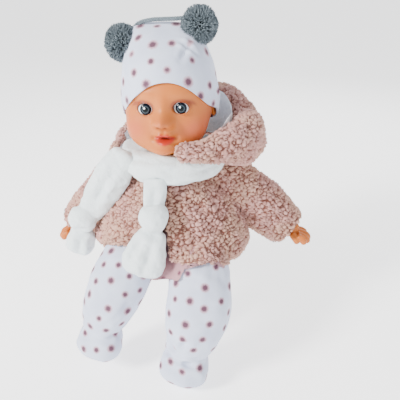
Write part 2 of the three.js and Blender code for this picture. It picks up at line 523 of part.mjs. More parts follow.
function makeHead(body) {
  const { x, y, z } = HEAD_CENTRE;
  const features = [
    ball([1, -54.5, 168.5], [5.5, 6.5, 5], 8, 6), // nose
    ball([2, -50, 151], [9.5, 6, 5.5], 8, 6), // lips
    ball([0, -36, 141], [15, 11, 9], 10, 6), // chin
    ball([23, -28, 160], [17, 18.5, 18], 10, 6), // cheeks
    ball([-23, -28, 160], [17, 18.5, 18], 10, 6),
    ball([46, 0, 177], [4.5, 7, 11], 8, 6), // ears
    ball([-46, 0, 175], [4.5, 7, 11], 8, 6),
  ].map(solid);
  const neck = solid(bar([0, 0, 99], [0, 0, 150], NECK_RADIUS, 24));
  const outer = joined(headForm(0), neck, ...features);
  const sockets = Object.values(EYE_CENTRES).map((centre) => solid(ball(centre, [11, 11, 11], 8, 6)));
  const hollow = without(solid(ball([x, y, z], HEAD_RADII.map((radius) => radius - HEAD_WALL), 12, 8)),
    ...sockets);
  const bore = solid(bar([0, 0, 90], [0, 0, 160], NECK_RADIUS - 3, 20));
  const eyeHoles = Object.values(EYE_CENTRES).map((centre) => {
    const radius = EYE_RADIUS + GAP;
    return solid(ball(centre, [radius, radius, radius], 10, 7));
  });
  piece(body, 'head_shell', largest(without(outer, hollow, bore, ...eyeHoles)), COLOUR.vinyl, 0.45);
  Object.entries(EYE_CENTRES).forEach(([name, centre]) => {
    const eye = piece(body, name, new THREE.SphereGeometry(EYE_RADIUS, 10, 7), 0xf2f4f6, 0.08);
    eye.geometry.rotateX(Math.PI / 2);
    eye.position.set(...centre);
  });

  // The hat: its brim slopes from the forehead down past the ears, and two corners stand at its top.
  const hatOuter = loft([[0, 0, 120, 46, 46], [0, -3, 150, 50, 53], [0, -3, 186, 50, 54], ...HAT_TOP],
    { rows: 7, sides: 18, upright: true });
  const brimNormal = new THREE.Vector3(0, 0.72, 0.69).normalize();
  const aboveBrim = solid(beyond(brimNormal, brimNormal.dot(new THREE.Vector3(0, -50, 203))));
  const nape = solid(block([-80, -80, 140], [80, 80, 300]));
  const earRoom = [46, -46].map((earX) => solid(ball([earX, 0, 176], [5.2, 7.8, 12.2], 8, 6)));
  const hat = without(solid(hatOuter).intersect(aboveBrim).intersect(nape), headForm(GAP), ...earRoom);
  const pompoms = { right_pompom: [-49.5, -3, 232], left_pompom: [31, -6, 250] };
  const pompomRoom = Object.values(pompoms).map((centre) => {
    const radius = POMPOM_RADIUS + GAP;
    return solid(ball(centre, [radius, radius, radius], 12, 8));
  });
  piece(body, 'hat', largest(without(hat, ...pompomRoom)), COLOUR.dots, 0.9);
  Object.entries(pompoms).forEach(([name, centre]) => {
    const pompom = piece(body, name, new THREE.SphereGeometry(POMPOM_RADIUS, 12, 8), COLOUR.pompom, 1);
    pompom.geometry.rotateX(Math.PI / 2);
    pompom.position.set(...centre);
  });

  const route = new THREE.CatmullRomCurve3([[-38, 10, 243], [-28, 13, 250], [-16, 14, 254], [-4, 13, 255.4],
    [8, 10, 255.8], [15, 6, 256.5]].map((point) => new THREE.Vector3(...point)));
  const braid = new THREE.Shape();
  braid.absarc(0, 0, 2, 0, 2 * Math.PI);
  const cord = solid(new THREE.ExtrudeGeometry(braid,
    { steps: 10, curveSegments: 4, extrudePath: route, bevelEnabled: false }));
  piece(body, 'hat_cord', largest(without(cord, ...pompomRoom, hatOuterGrown())), COLOUR.pompom, 0.8);
}

function hatOuterGrown() {
  return solid(loft(HAT_TOP, { rows: 5, sides: 18, grow: 1.6, upright: true }));
}

makeBody(bodies.torso);
makeVoiceUnit(bodies.torso);
makeClothes(bodies.torso);
makeHead(bodies.head);
makeArm(bodies.left_arm, 'left', 1);
makeArm(bodies.right_arm, 'right', -1);
makeLeg(bodies.left_leg, 'left');
makeLeg(bodies.right_leg, 'right');

export default group;
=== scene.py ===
import math
import bpy
import numpy as np
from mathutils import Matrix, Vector


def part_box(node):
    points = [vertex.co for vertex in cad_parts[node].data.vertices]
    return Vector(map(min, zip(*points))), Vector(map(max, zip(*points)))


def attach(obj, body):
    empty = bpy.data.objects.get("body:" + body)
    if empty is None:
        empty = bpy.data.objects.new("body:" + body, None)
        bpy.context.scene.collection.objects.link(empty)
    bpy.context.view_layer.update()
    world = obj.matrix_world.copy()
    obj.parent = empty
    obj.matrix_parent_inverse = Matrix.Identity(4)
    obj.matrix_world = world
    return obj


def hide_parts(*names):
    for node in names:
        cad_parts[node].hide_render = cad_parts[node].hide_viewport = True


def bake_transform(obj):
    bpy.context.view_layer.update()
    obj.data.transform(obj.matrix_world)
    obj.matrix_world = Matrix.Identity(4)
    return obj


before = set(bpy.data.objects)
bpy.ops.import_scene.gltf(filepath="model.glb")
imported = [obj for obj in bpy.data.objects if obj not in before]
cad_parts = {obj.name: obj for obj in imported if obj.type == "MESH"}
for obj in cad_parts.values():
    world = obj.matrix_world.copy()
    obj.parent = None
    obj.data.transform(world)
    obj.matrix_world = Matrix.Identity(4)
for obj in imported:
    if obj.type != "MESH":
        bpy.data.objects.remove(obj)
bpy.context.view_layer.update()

MM = 0.001
TAU = 2 * math.pi

# Camera, light and floor
CAMERA_PLACE = (0.0779, -0.4522, 0.2830)
CAMERA_LOOK = (-0.0940, 0.8939, -0.4384)
CAMERA_LENS_MM = 39.6
LIGHT_AIM = (0, 0, 0.10)
FLOOR_GAP = 0.006
FLOOR_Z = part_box("left_trouser_leg")[0][2] - FLOOR_GAP


def add_camera():
    bpy.ops.object.camera_add(location=CAMERA_PLACE)
    camera = bpy.context.object
    camera.name = "camera"
    camera.rotation_euler = Vector(CAMERA_LOOK).to_track_quat("-Z", "Y").to_euler()
    camera.data.lens = CAMERA_LENS_MM
    camera.data.sensor_width = 36
    camera.data.clip_start = 0.01
    bpy.context.scene.camera = camera


def add_area_light(name, place, size, power, colour=(1, 1, 1)):
    bpy.ops.object.light_add(type="AREA", location=place)
    light = bpy.context.object
    light.name = name
    light.data.shape = "DISK"
    light.data.size = size
    light.data.energy = power
    light.data.color = colour
    towards = Vector(LIGHT_AIM) - Vector(place)
    light.rotation_euler = towards.to_track_quat("-Z", "Y").to_euler()


def add_studio():
    add_area_light("key_light", (-1.15, -0.95, 0.95), 0.45, 62, (1, 0.985, 0.965))
    add_area_light("fill_light", (1.15, -0.75, 0.55), 0.9, 4.0, (0.93, 0.96, 1))
    add_area_light("back_light", (0.35, 1.1, 0.9), 0.8, 12)
    world = bpy.context.scene.world or bpy.data.worlds.new("studio")
    bpy.context.scene.world = world
    world.use_nodes = True
    background = world.node_tree.nodes["Background"]
    background.inputs["Color"].default_value = (0.97, 0.98, 1, 1)
    background.inputs["Strength"].default_value = 1.1
    bpy.ops.mesh.primitive_plane_add(size=80, location=(0, 0, FLOOR_Z))
    floor = bpy.context.object
    floor.name = "floor"
    paper = material("floor_paper", (0.95, 0.95, 0.95), 0.7, variation=0.01)
    shader = paper.node_tree.nodes["Principled BSDF"]
    shader.inputs["Emission Color"].default_value = (1, 1, 1, 1)
    shader.inputs["Emission Strength"].default_value = 1.3
    floor.data.materials.append(paper)


# Materials
class Sockets:
    """A shader socket that maths can be written on."""

    def __init__(self, nodes, socket):
        self.nodes = nodes
        self.socket = socket

    def maths(self, operation, other=None):
        return self.nodes.node("ShaderNodeMath", {"operation": operation}, [self, other])

    def __add__(self, other):
        return self.maths("ADD", other)

    __radd__ = __add__

    def __sub__(self, other):
        return self.maths("SUBTRACT", other)

    def __rsub__(self, other):
        return self.nodes.value_first("SUBTRACT", other, self)

    def __mul__(self, other):
        return self.maths("MULTIPLY", other)

    __rmul__ = __mul__

    def __truediv__(self, other):
        return self.maths("DIVIDE", other)

    def __pow__(self, other):
        return self.maths("POWER", other)

    def band(self, low, high):
        """0 below low, 1 above high, smooth between; the other way round where low is above high."""
        return self.nodes.node("ShaderNodeMapRange", {"interpolation_type": "SMOOTHSTEP"},
                               [self, low, high, 0.0, 1.0])


class Nodes:
    """The node tree of one material."""

    def __init__(self, tree):
        self.tree = tree
        self.shader = tree.nodes["Principled BSDF"]

    def node(self, kind, settings=None, inputs=(), output=0):
        new = self.tree.nodes.new(kind)
        for name, value in (settings or {}).items():
            setattr(new, name, value)
        pairs = inputs.items() if isinstance(inputs, dict) else enumerate(inputs)
        for key, value in pairs:
            if value is None:
                continue
            if isinstance(value, Sockets):
                self.tree.links.new(value.socket, new.inputs[key])
            else:
                new.inputs[key].default_value = value
        return Sockets(self, new.outputs[output])

    def value_first(self, operation, first, second):
        return self.node("ShaderNodeMath", {"operation": operation}, [first, second])

    def place(self):
        return self.node("ShaderNodeTexCoord", output="Object")

    def centred(self, centre):
        return self.node("ShaderNodeVectorMath", {"operation": "SUBTRACT"}, [self.place(), centre])

    def split(self, vector):
        new = self.tree.nodes.new("ShaderNodeSeparateXYZ")
        self.tree.links.new(vector.socket, new.inputs[0])
        return [Sockets(self, output) for output in new.outputs]

    def noise(self, scale, detail=2.0, roughness=0.5):
        return self.node("ShaderNodeTexNoise", {}, {"Vector": self.place(), "Scale": scale,
                                                    "Detail": detail, "Roughness": roughness})

    def attribute(self, name, output="Fac"):
        return self.node("ShaderNodeAttribute", {"attribute_name": name}, output=output)

    def mix(self, factor, a, b):
        new = self.tree.nodes.new("ShaderNodeMix")
        new.data_type = "RGBA"
        for key, value in ((0, factor), (6, a), (7, b)):
            if isinstance(value, Sockets):
                self.tree.links.new(value.socket, new.inputs[key])
            elif key:
                new.inputs[key].default_value = (*value, 1)
            else:
                new.inputs[key].default_value = value
        return Sockets(self, new.outputs[2])

    def set(self, name, value):
        if isinstance(value, Sockets):
            self.tree.links.new(value.socket, self.shader.inputs[name])
        elif isinstance(value, tuple):
            size = len(self.shader.inputs[name].default_value)
            self.shader.inputs[name].default_value = (*value, 1)[:size]
        else:
            self.shader.inputs[name].default_value = value

    def bump(self, height, distance, strength=1.0):
        self.set("Normal", self.node("ShaderNodeBump", {}, {"Height": height, "Distance": distance,
                                                            "Strength": strength}))


def blank(name, roughness):
    made = bpy.data.materials.new(name)
    made.use_nodes = True
    nodes = Nodes(made.node_tree)
    nodes.set("Roughness", roughness)
    return made, nodes


def material(name, colour, roughness, metallic=0.0, grain=900.0, depth=0.00004, variation=0.08, coat=0.0):
    """A moulded, painted or metal finish: fine grain and a slight change of tone."""
    made, nodes = blank(name, roughness)
    drift = nodes.noise(35, 3).band(0.3, 0.7)
    darker = tuple(c * (1 - variation) for c in colour)
    nodes.set("Base Color", nodes.mix(drift, colour, darker))
    nodes.set("Metallic", metallic)
    nodes.set("Coat Weight", coat)
    nodes.bump(nodes.noise(grain, 3), depth)
    return made


def cloth_finish(nodes, sheen, tint=(1, 1, 1)):
    nodes.set("Sheen Weight", sheen)
    nodes.set("Sheen Roughness", 0.45)
    nodes.set("Sheen Tint", tint)
    nodes.set("Specular IOR Level", 0.2)


def sherpa_material():
    made, nodes = blank("sherpa_pile", 0.95)
    pile = nodes.attribute("pile")
    tint = nodes.attribute("tint")
    curl = nodes.noise(1300, 3, 0.6)
    crown = nodes.mix(tint, (0.440, 0.220, 0.182), (0.590, 0.330, 0.288))
    crown = nodes.mix(curl.band(0.55, 0.8) * 0.5, crown, (0.780, 0.560, 0.530))
    warm = nodes.noise(24, 2).band(0.42, 0.62)
    crown = nodes.mix(warm * 0.55, crown, (0.590, 0.365, 0.250))
    # Where the pile is low, in the crevices between clumps, the dark colours are painted shade.
    deep = nodes.mix(tint, (0.150, 0.058, 0.042), (0.230, 0.095, 0.072))
    nodes.set("Base Color", nodes.mix((pile + (curl - 0.5) * 0.35).band(0.04, 0.52), deep, crown))
    cloth_finish(nodes, 0.2, (1, 0.85, 0.82))
    nodes.bump(curl, 0.0006, 0.8)
    return made


def fleece_material(name, colour, shade):
    made, nodes = blank(name, 0.95)
    fuzz = nodes.noise(1500, 4, 0.65)
    soft = nodes.noise(60, 3).band(0.35, 0.7)
    nodes.set("Base Color", nodes.mix(soft * 0.35 + (1 - fuzz.band(0.3, 0.6)) * 0.25, colour, shade))
    cloth_finish(nodes, 0.35)
    nodes.bump(fuzz * 1.5 + nodes.noise(420, 3) + nodes.noise(180, 2) * 1.5, 0.0009, 0.9)
    return made


def jersey_material(name, ground, shade, core, halo):
    """Fine knit printed with round dots: "dot" holds the distance to the nearest one's centre, in mm."""
    made, nodes = blank(name, 0.88)
    fray = (nodes.noise(650, 3, 0.7) - 0.5) * 1.7
    distance = nodes.attribute("dot") + fray
    base = nodes.mix(nodes.noise(45, 3).band(0.35, 0.7) * 0.6, ground, shade)
    printed = nodes.mix(distance.band(3.9, 2.4) * 0.85, base, halo)
    nodes.set("Base Color", nodes.mix(distance.band(2.9, 1.2) * 0.94, printed, core))
    cloth_finish(nodes, 0.15)
    knit = nodes.node("ShaderNodeTexWave", {"wave_type": "BANDS", "bands_direction": "X"},
                      {"Vector": nodes.place(), "Scale": 320.0, "Distortion": 1.5, "Detail": 2.0,
                       "Detail Scale": 3.0}, output=1)
    nodes.bump(knit * 0.5 + nodes.noise(900, 2), 0.00012, 0.6)
    return made


def plain_cloth_material(name, colour, shade):
    made, nodes = blank(name, 0.92)
    threads = nodes.node("ShaderNodeTexWave", {"wave_type": "BANDS", "bands_direction": "DIAGONAL"},
                         {"Vector": nodes.place(), "Scale": 700.0, "Distortion": 1.0}, output=1)
    nodes.set("Base Color", nodes.mix(nodes.noise(70, 3).band(0.3, 0.7), colour, shade))
    cloth_finish(nodes, 0.2)
    nodes.bump(threads + nodes.noise(1100, 2), 0.0002, 0.5)
    return made


def vinyl_material():
    """Skin-coloured vinyl, with the face paint and the painted shade that the piece's own attributes carry.
    """
    made, nodes = blank("doll_vinyl", 0.42)
    mottle = nodes.noise(55, 4).band(0.3, 0.75)
    skin = nodes.mix(mottle * 0.5, (0.510, 0.150, 0.026), (0.455, 0.116, 0.016))
    # Cheek, nose, chin and knuckle blush, and painted shade down the face's left side.
    skin = nodes.mix(nodes.attribute("blush") * 0.7, skin, (0.530, 0.105, 0.045))
    # Brown lid and brow paint, and painted shade under the nose.
    skin = nodes.mix(nodes.attribute("shade") * 0.85, skin, (0.230, 0.045, 0.016))
    skin = nodes.mix(nodes.attribute("lips") * 0.95, skin, (0.410, 0.022, 0.011))
    # Painted lash lines, and near-black painted shade in the eye sockets, the gap between the lips and the
    # nostrils.
    nodes.set("Base Color", nodes.mix(nodes.attribute("dark") * 0.95, skin, (0.045, 0.007, 0.006)))
    nodes.set("Roughness", 0.44 - nodes.attribute("lips") * 0.14 + (nodes.noise(300, 3) - 0.5) * 0.12)
    nodes.set("Subsurface Weight", 0.12)
    nodes.set("Subsurface Radius", (0.004, 0.0018, 0.001))
    nodes.set("Subsurface Scale", 0.5)
    nodes.set("Specular IOR Level", 0.28)
    nodes.bump(nodes.noise(1400, 2), 0.00003, 0.5)
    return made


def eye_material(name, centre, gaze):
    """A glassy eye: white, dark outer ring, blue-grey iris with fine spokes, the pupil, and a painted
    highlight.
    """
    made, nodes = blank(name, 0.07)
    local = nodes.centred((centre[0] + gaze[0], centre[1], centre[2] + gaze[1]))
    x, _, z = nodes.split(local)
    radius = (x * x + z * z).maths("SQRT") * 1000
    angle = z.maths("ARCTAN2", x)
    spokes = (angle * 34 + nodes.noise(500, 2) * 6).maths("SINE") * 0.5 + 0.5
    iris = nodes.mix(spokes, (0.002, 0.004, 0.006), (0.008, 0.015, 0.020))
    iris = nodes.mix(radius.band(2.5, 2.9) * radius.band(3.7, 3.3) * 0.9, iris, (0.050, 0.068, 0.082))
    iris = nodes.mix(radius.band(3.5, 4.0), iris, (0.001, 0.002, 0.008))
    iris = nodes.mix(radius.band(2.0, 1.5), iris, (0.002, 0.003, 0.004))
    # A small white spot above and beside the pupil is a painted highlight.
    highlight_x, highlight_z = (x + 0.0010) * 1000, (z - 0.0014) * 1000
    painted_highlight = (highlight_x * highlight_x + highlight_z * highlight_z).maths("SQRT")
    iris = nodes.mix(painted_highlight.band(1.15, 0.65), iris, (0.950, 0.960, 0.970))
    # The white darkens towards its edges, under the lids, as painted shade.
    white = nodes.mix(radius.band(5.6, 8.0), (0.780, 0.800, 0.815), (0.420, 0.380, 0.390))
    nodes.set("Base Color", nodes.mix(radius.band(5.25, 5.65), iris, white))
    nodes.set("Coat Weight", 0.1)
    nodes.set("Coat Roughness", 0.08)
    nodes.set("Specular IOR Level", 0.08)
    nodes.bump(nodes.noise(200, 1), 0.00001, 0.2)
    return made


def yarn_material():
    made, nodes = blank("pompom_yarn", 0.95)
    # The tint holds a random yarn tone and, in the pom-poms, painted shade towards the core.
    nodes.set("Base Color", nodes.mix(nodes.attribute("tint"), (0.060, 0.078, 0.092), (0.235, 0.280, 0.310)))
    cloth_finish(nodes, 0.4, (0.8, 0.95, 1))
    nodes.bump(nodes.noise(1500, 2), 0.0002, 0.5)
    return made


# Noise and splines, on arrays of points
def scatter(cells, salt):
    """A fixed number from 0 to 1 for every whole-number cell."""
    cells = cells.astype(np.int64)
    mixed = cells[..., 0] * 73856093 ^ cells[..., 1] * 19349663
    mixed = mixed ^ cells[..., 2] * 83492791 ^ salt * 2654435761
    mixed = (mixed ^ (mixed >> 13)) * 1274126177
    mixed = (mixed ^ (mixed >> 16)) & 0xFFFFFF
    return mixed / float(0xFFFFFF)


def smooth_noise(points, salt=0):
    base = np.floor(points)
    part = points - base
    part = part * part * (3 - 2 * part)
    total = np.zeros(len(points))
    for i in (0, 1):
        for j in (0, 1):
            for k in (0, 1):
                weight = np.ones(len(points))
                for axis, step in enumerate((i, j, k)):
                    weight *= part[:, axis] if step else 1 - part[:, axis]
                total += weight * scatter(base + (i, j, k), salt)
    return total * 2 - 1


def squared(values, power):
    """Raises the size of each value to a power and keeps its sign."""
    return np.sign(values) * np.abs(values) ** power


def clumps(points, salt=0):
    """Distances to the nearest and second nearest of scattered centres, and the nearest one's number."""
    base = np.floor(points)
    nearest = np.full(len(points), 9.0)
    second = np.full(len(points), 9.0)
    number = np.zeros(len(points))
    for i in (-1, 0, 1):
        for j in (-1, 0, 1):
            for k in (-1, 0, 1):
                cell = base + (i, j, k)
                centre = cell + np.stack([scatter(cell, salt + n) for n in (1, 2, 3)], axis=1)
                distance = np.linalg.norm(centre - points, axis=1)
                closer = distance < nearest
                second = np.where(closer, nearest, np.minimum(second, distance))
                number = np.where(closer, scatter(cell, salt + 4), number)
                nearest = np.where(closer, distance, nearest)
    return nearest, second, number


def smoothstep(low, high, value):
    share = np.clip((value - low) / (high - low), 0, 1)
    return share * share * (3 - 2 * share)


def spline(stations, places):
    """Rows of numbers between stations, by a smooth curve through them; places go from 0 to 1."""
    table = np.array(stations, float)
    count = len(table) - 1
    at = np.clip(np.asarray(places, float) * count, 0, count - 1e-9)
    i = at.astype(int)
    t = (at - i)[:, None]
    padded = np.vstack([2 * table[0] - table[1], table, 2 * table[-1] - table[-2]])
    a, b, c, d = padded[i], padded[i + 1], padded[i + 2], padded[i + 3]
    return 0.5 * (2 * b + (c - a) * t + (2 * a - 5 * b + 4 * c - d) * t ** 2
                  + (3 * b - a - 3 * c + d) * t ** 3)


# Surfaces
def select_only(piece):
    bpy.ops.object.select_all(action="DESELECT")
    piece.select_set(True)
    bpy.context.view_layer.objects.active = piece


def edit(piece, *steps):
    select_only(piece)
    bpy.ops.object.mode_set(mode="EDIT")
    bpy.ops.mesh.select_all(action="SELECT")
    for step in steps:
        step()
    bpy.ops.object.mode_set(mode="OBJECT")


def merge_doubles():
    bpy.ops.mesh.remove_doubles(threshold=2e-6)


def face_out():
    bpy.ops.mesh.normals_make_consistent(inside=False)


def positions(piece):
    co = np.empty(len(piece.data.vertices) * 3)
    piece.data.vertices.foreach_get("co", co)
    return co.reshape(-1, 3) / MM


def put_positions(piece, points):
    piece.data.vertices.foreach_set("co", (points * MM).ravel())
    piece.data.update()


def normals(piece):
    out = np.empty(len(piece.data.vertices) * 3)
    piece.data.vertex_normals.foreach_get("vector", out)
    return out.reshape(-1, 3)


def attribute(piece, name, values):
    made = piece.data.attributes.get(name) or piece.data.attributes.new(name, "FLOAT", "POINT")
    made.data.foreach_set("value", np.asarray(values, np.float32))


def cloth_surface(name, around, along, place, closed=True):
    """A grid of cloth laid by place(u, v), in millimetres."""
    bpy.ops.object.select_all(action="DESELECT")
    bpy.ops.mesh.primitive_grid_add(x_subdivisions=around, y_subdivisions=along, size=1, location=(0, 0, 0))
    piece = bpy.context.object
    piece.name = name
    flat = positions(piece) * MM + 0.5
    put_positions(piece, place(flat[:, 0], flat[:, 1]))
    edit(piece, merge_doubles)
    if closed:
        edit(piece, face_out)
    piece.data.shade_smooth()
    return piece


def tube_frames(stations, depth, places, upright=False):
    """Centres, side and depth directions and half sizes along a path of [x, y, z, a, b] stations."""
    fine = spline(stations, np.linspace(0, 1, 400))
    steps = np.linalg.norm(np.diff(fine[:, :3], axis=0), axis=1)
    run = np.concatenate([[0], np.cumsum(steps)])
    share = np.interp(np.asarray(places) * run[-1], run, np.linspace(0, 1, 400))
    rows = spline(stations, share)
    ahead = spline(stations, np.clip(share + 1e-3, 0, 1))
    behind = spline(stations, np.clip(share - 1e-3, 0, 1))
    tangent = ahead[:, :3] - behind[:, :3]
    if upright:
        tangent = np.tile((0.0, 0.0, 1.0), (len(rows), 1))
    tangent /= np.linalg.norm(tangent, axis=1)[:, None]
    side = np.cross(np.broadcast_to(depth, tangent.shape), tangent)
    side /= np.linalg.norm(side, axis=1)[:, None]
    return rows, side, np.cross(tangent, side), tangent, run[-1]


def tube(name, stations, around=96, along=80, depth=(0, 1, 0), cap=8.0, upright=False, squareness=2.0,
         shape=None, mouth=0.0):
    """A closed soft form through stations. shape(angle, run) may change its radius, and mouth
    turns the far end in, as a cuff does, by so many millimetres."""
    length = tube_frames(stations, depth, [0.0], upright)[4]
    lip = 0.88 if mouth else 1.0

    def place(u, v):
        inside = np.clip((v - lip) / max(1 - lip, 1e-6), 0, 1) if mouth else np.zeros(len(v))
        run = np.where(inside > 0, 1 - inside * mouth / length, v / lip)
        rows, side, deep, _, _ = tube_frames(stations, depth, run, upright)
        from_end = (run if mouth else np.minimum(run, 1 - run)) * length
        radius = np.sqrt(np.clip(1 - (1 - np.clip(from_end / max(cap, 1e-6), 0, 1)) ** 2, 0, 1))
        if mouth:
            radius = radius * np.where(inside > 0, 1 - 0.22 * np.sqrt(inside), 1)
            radius = np.where(inside > 0.999, 0, radius)
        angle = u * TAU
        c, s = np.cos(angle), np.sin(angle)
        power = 2.0 / squareness
        across = np.sign(c) * np.abs(c) ** power
        through = np.sign(s) * np.abs(s) ** power
        if shape is not None:
            radius = radius * shape(angle, run)
        return (rows[:, :3] + side * (rows[:, 3] * across * radius)[:, None]
                + deep * (rows[:, 4] * through * radius)[:, None])

    return cloth_surface(name, around, along, place)


def sculpt(points, centre, spread, shift):
    """Moves the points near a centre, as a thumb in clay would."""
    near = np.exp(-0.5 * np.sum(((points - np.array(centre)) / np.array(spread)) ** 2, axis=1))
    return points + near[:, None] * np.array(shift)


def fold(piece, start, end, width, depth):
    """Presses a soft groove along a line, with a low roll of cloth on each side of it."""
    points = positions(piece)
    a, b = np.array(start, float), np.array(end, float)
    share = np.clip((points - a) @ (b - a) / np.sum((b - a) ** 2), 0, 1)
    away = np.linalg.norm(points - (a + share[:, None] * (b - a)), axis=1)
    fade = np.sin(np.clip(share, 0.02, 0.98) * math.pi) ** 0.5
    groove = np.exp(-(away / width) ** 2) - 0.45 * np.exp(-((away - 2.1 * width) / width) ** 2)
    put_positions(piece, points - normals(piece) * (groove * fade * depth)[:, None])


def draped(points, stations, margin):
    """Lifts cloth that would pass through a stuffed form until it lies on it."""
    line = spline(stations, np.linspace(0, 1, 120))
    for _ in range(3):
        away = points[:, None, :] - line[None, :, :3]
        distance = np.linalg.norm(away, axis=2)
        nearest = np.argmin(distance, axis=1)
        gap = distance[np.arange(len(points)), nearest]
        radius = line[nearest, 3:].mean(axis=1) + margin
        push = np.clip(radius - gap, 0, None) / np.maximum(gap, 1)
        points = points + away[np.arange(len(points)), nearest] * push[:, None]
    return points


def over_legs(piece, margin):
    points = positions(piece)
    for stations in LEGS.values():
        points = draped(points, stations, margin)
    put_positions(piece, points)


def dots(piece, spacing, salt, size=1.0):
    """Scatters dots evenly over a piece and records how far each point is from the nearest."""
    points = positions(piece)
    random = np.random.default_rng(salt)
    centres = []
    for index in random.permutation(len(points))[:9000]:
        place = points[index]
        if not centres or np.min(np.linalg.norm(np.array(centres) - place, axis=1)) > spacing:
            centres.append(place)
    sizes = random.uniform(0.82, 1.12, len(centres)) * size
    nearest = np.full(len(points), 99.0)
    for centre, scale in zip(centres, sizes):
        nearest = np.minimum(nearest, np.linalg.norm(points - centre, axis=1) / scale)
    attribute(piece, "dot", nearest)


def wrinkle(piece, size, height, salt=0, stretch=(1, 1, 1)):
    points = positions(piece)
    push = smooth_noise(points / (size * np.array(stretch)), salt) + 0.5 * smooth_noise(
        points / (0.5 * size * np.array(stretch)) + 7, salt + 1)
    put_positions(piece, points + normals(piece) * (push * height)[:, None])


def sherpa(piece, height=2.0, size=4.4, keep=None, salt=0):
    """Raises curly pile on a piece and records how deep each point lies and which clump it is in."""
    points = positions(piece)
    warp = np.stack([smooth_noise(points / 5.5, salt + n) for n in (11, 12, 13)], axis=1)
    swirled = points + warp * 2.2
    near, second, number = clumps(swirled / (size * np.array([1.15, 1.0, 0.8])), salt)
    edge = smoothstep(0.0, 0.34, second - near)
    dome = np.clip(1.1 - near, 0, 1)
    near_fine, second_fine, _ = clumps((points + warp * 1.2) / 2.3, salt + 20)
    fine = smoothstep(0.0, 0.4, second_fine - near_fine)
    pile = 0.55 * edge + 0.35 * dome + 0.25 * fine - 0.25
    low = smooth_noise(points / 16, salt + 31) * 0.6
    lift = (pile - 0.45) * height * 1.8 + low
    if keep is not None:
        lift = lift * keep(points)
    put_positions(piece, points + normals(piece) * lift[:, None])
    # The material paints the low places darker, as painted shade in the crevices.
    attribute(piece, "pile", np.clip(pile * 1.15, 0, 1))
    attribute(piece, "tint", number)


def thicken(piece, thickness):
    """Gives an open cloth its thickness, inwards."""
    select_only(piece)
    wall = piece.modifiers.new("wall", "SOLIDIFY")
    wall.thickness = thickness * MM
    wall.offset = -1.0
    bpy.ops.object.modifier_apply(modifier="wall")


def soften(piece, voxel, rounds=6):
    """Melts a rough form into one smooth skin."""
    select_only(piece)
    piece.data.remesh_voxel_size = voxel * MM
    bpy.ops.object.voxel_remesh()
    smooth = piece.modifiers.new("smooth", "SMOOTH")
    smooth.iterations = rounds
    smooth.factor = 0.5
    bpy.ops.object.modifier_apply(modifier="smooth")
    piece.data.shade_smooth()


def join(name, parts):
    bpy.ops.object.select_all(action="DESELECT")
    for part in parts:
        part.select_set(True)
    bpy.context.view_layer.objects.active = parts[0]
    bpy.ops.object.join()
    parts[0].name = name
    return parts[0]


def ball(place, radii, segments=32, rings=20):
    bpy.ops.object.select_all(action="DESELECT")
    bpy.ops.mesh.primitive_uv_sphere_add(segments=segments, ring_count=rings, radius=1)
    piece = bpy.context.object
    put_positions(piece, positions(piece) * MM * np.array(radii) + np.array(place))
    piece.data.shade_smooth()
    return piece


def finish(piece, finish_material, body, nodes=()):
    piece.data.materials.clear()
    piece.data.materials.append(finish_material)
    if body:
        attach(piece, body)
    if nodes:
        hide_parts(*nodes)
    return piece
def clothed(piece, name, rough=1.25, rounds=3):
    """Names a form and gives it one even skin."""
    piece.name = name
    soften(piece, rough, rounds)
    return piece


# Head, eyes and hands
HEAD_CENTRE = np.array((0.0, -4.0, 186.0))
HEAD_RADII = np.array((46.0, 50.0, 54.0))
EYES = {"right_eye": (-16.5, -42.6, 177.5), "left_eye": (17.5, -42.6, 179.5)}
EYE_RADIUS = 8.6
LID_WIDTH = 7.5
LID_RISE = 5.9
MOUTH = (2.0, 151.2)


def egg(u, v):
    """The head before its features, with more rows and columns on the face."""
    turn = (u - 0.5) * TAU
    turn = turn - 0.5 * np.sin(turn)
    rise = v * math.pi
    rise = rise + 0.22 * np.sin(2 * rise)
    ring = np.sin(rise)
    unit = np.stack([np.sin(turn) * ring, -np.cos(turn) * ring, -np.cos(rise)], axis=1)
    return HEAD_CENTRE + unit * HEAD_RADII


def face_features(points):
    """Pushes out the cheeks, jaw, brow, chin, nose and lips, in that order."""
    mouth = MOUTH[0]
    moves = []
    for side in (-1, 1):
        moves += [((side * 30, -34, 156), (12, 16, 13), (side * 6.0, -7, -3.5)),
                  ((side * 19, -34, 146), (13, 16, 9), (side * 4.0, -6, -4.0)),
                  ((side * 17, -48, 193), (9, 9, 4), (0, -1.6, 0))]
    moves += [((1, -38, 150), (16, 14, 13), (0, -8, -3)), ((-2, -36, 139), (14, 16, 8), (0, -7, -3.5)),
              ((-1, -46, 137), (8.5, 10, 5.5), (0, -6.5, 0)), ((1, -50, 181), (4.4, 9, 7), (0, -3.0, 0)),
              ((1, -54, 168.5), (5.6, 9, 5.0), (0, -14.5, -1.0))]
    moves += [((1 + side * 4.4, -53, 166.2), (3.0, 6, 3.0), (side * 0.9, -2.6, 0)) for side in (-1, 1)]
    for side in (-1, 1):
        moves += [((1 + side * 6.2, -52, 166.6), (2.8, 8, 2.8), (0, -4.6, 0)),
                  ((1 + side * 2.9, -59, 163.8), (1.5, 5, 1.2), (0, 3.0, 0.9)),
                  ((mouth + side * 4.0, -52, 154.8), (3.6, 8, 2.1), (0, -4.2, 0)),
                  ((mouth + side * 10.2, -50, 151.8), (2.2, 7, 2.2), (0, 2.6, 0))]
    moves += [((1.5, -54, 160), (1.5, 8, 2.6), (0, 1.2, 0)),
              ((mouth, -52, 147.0), (5.4, 8, 2.6), (0, -5.2, 0)),
              ((mouth, -50, 142.6), (6, 8, 1.8), (0, 2.2, 0)),
              ((mouth, -56, MOUTH[1]), (4.8, 9, 1.15), (0, 6.5, 0))]
    for place, size, push in moves:
        points = sculpt(points, place, size, push)
    return points


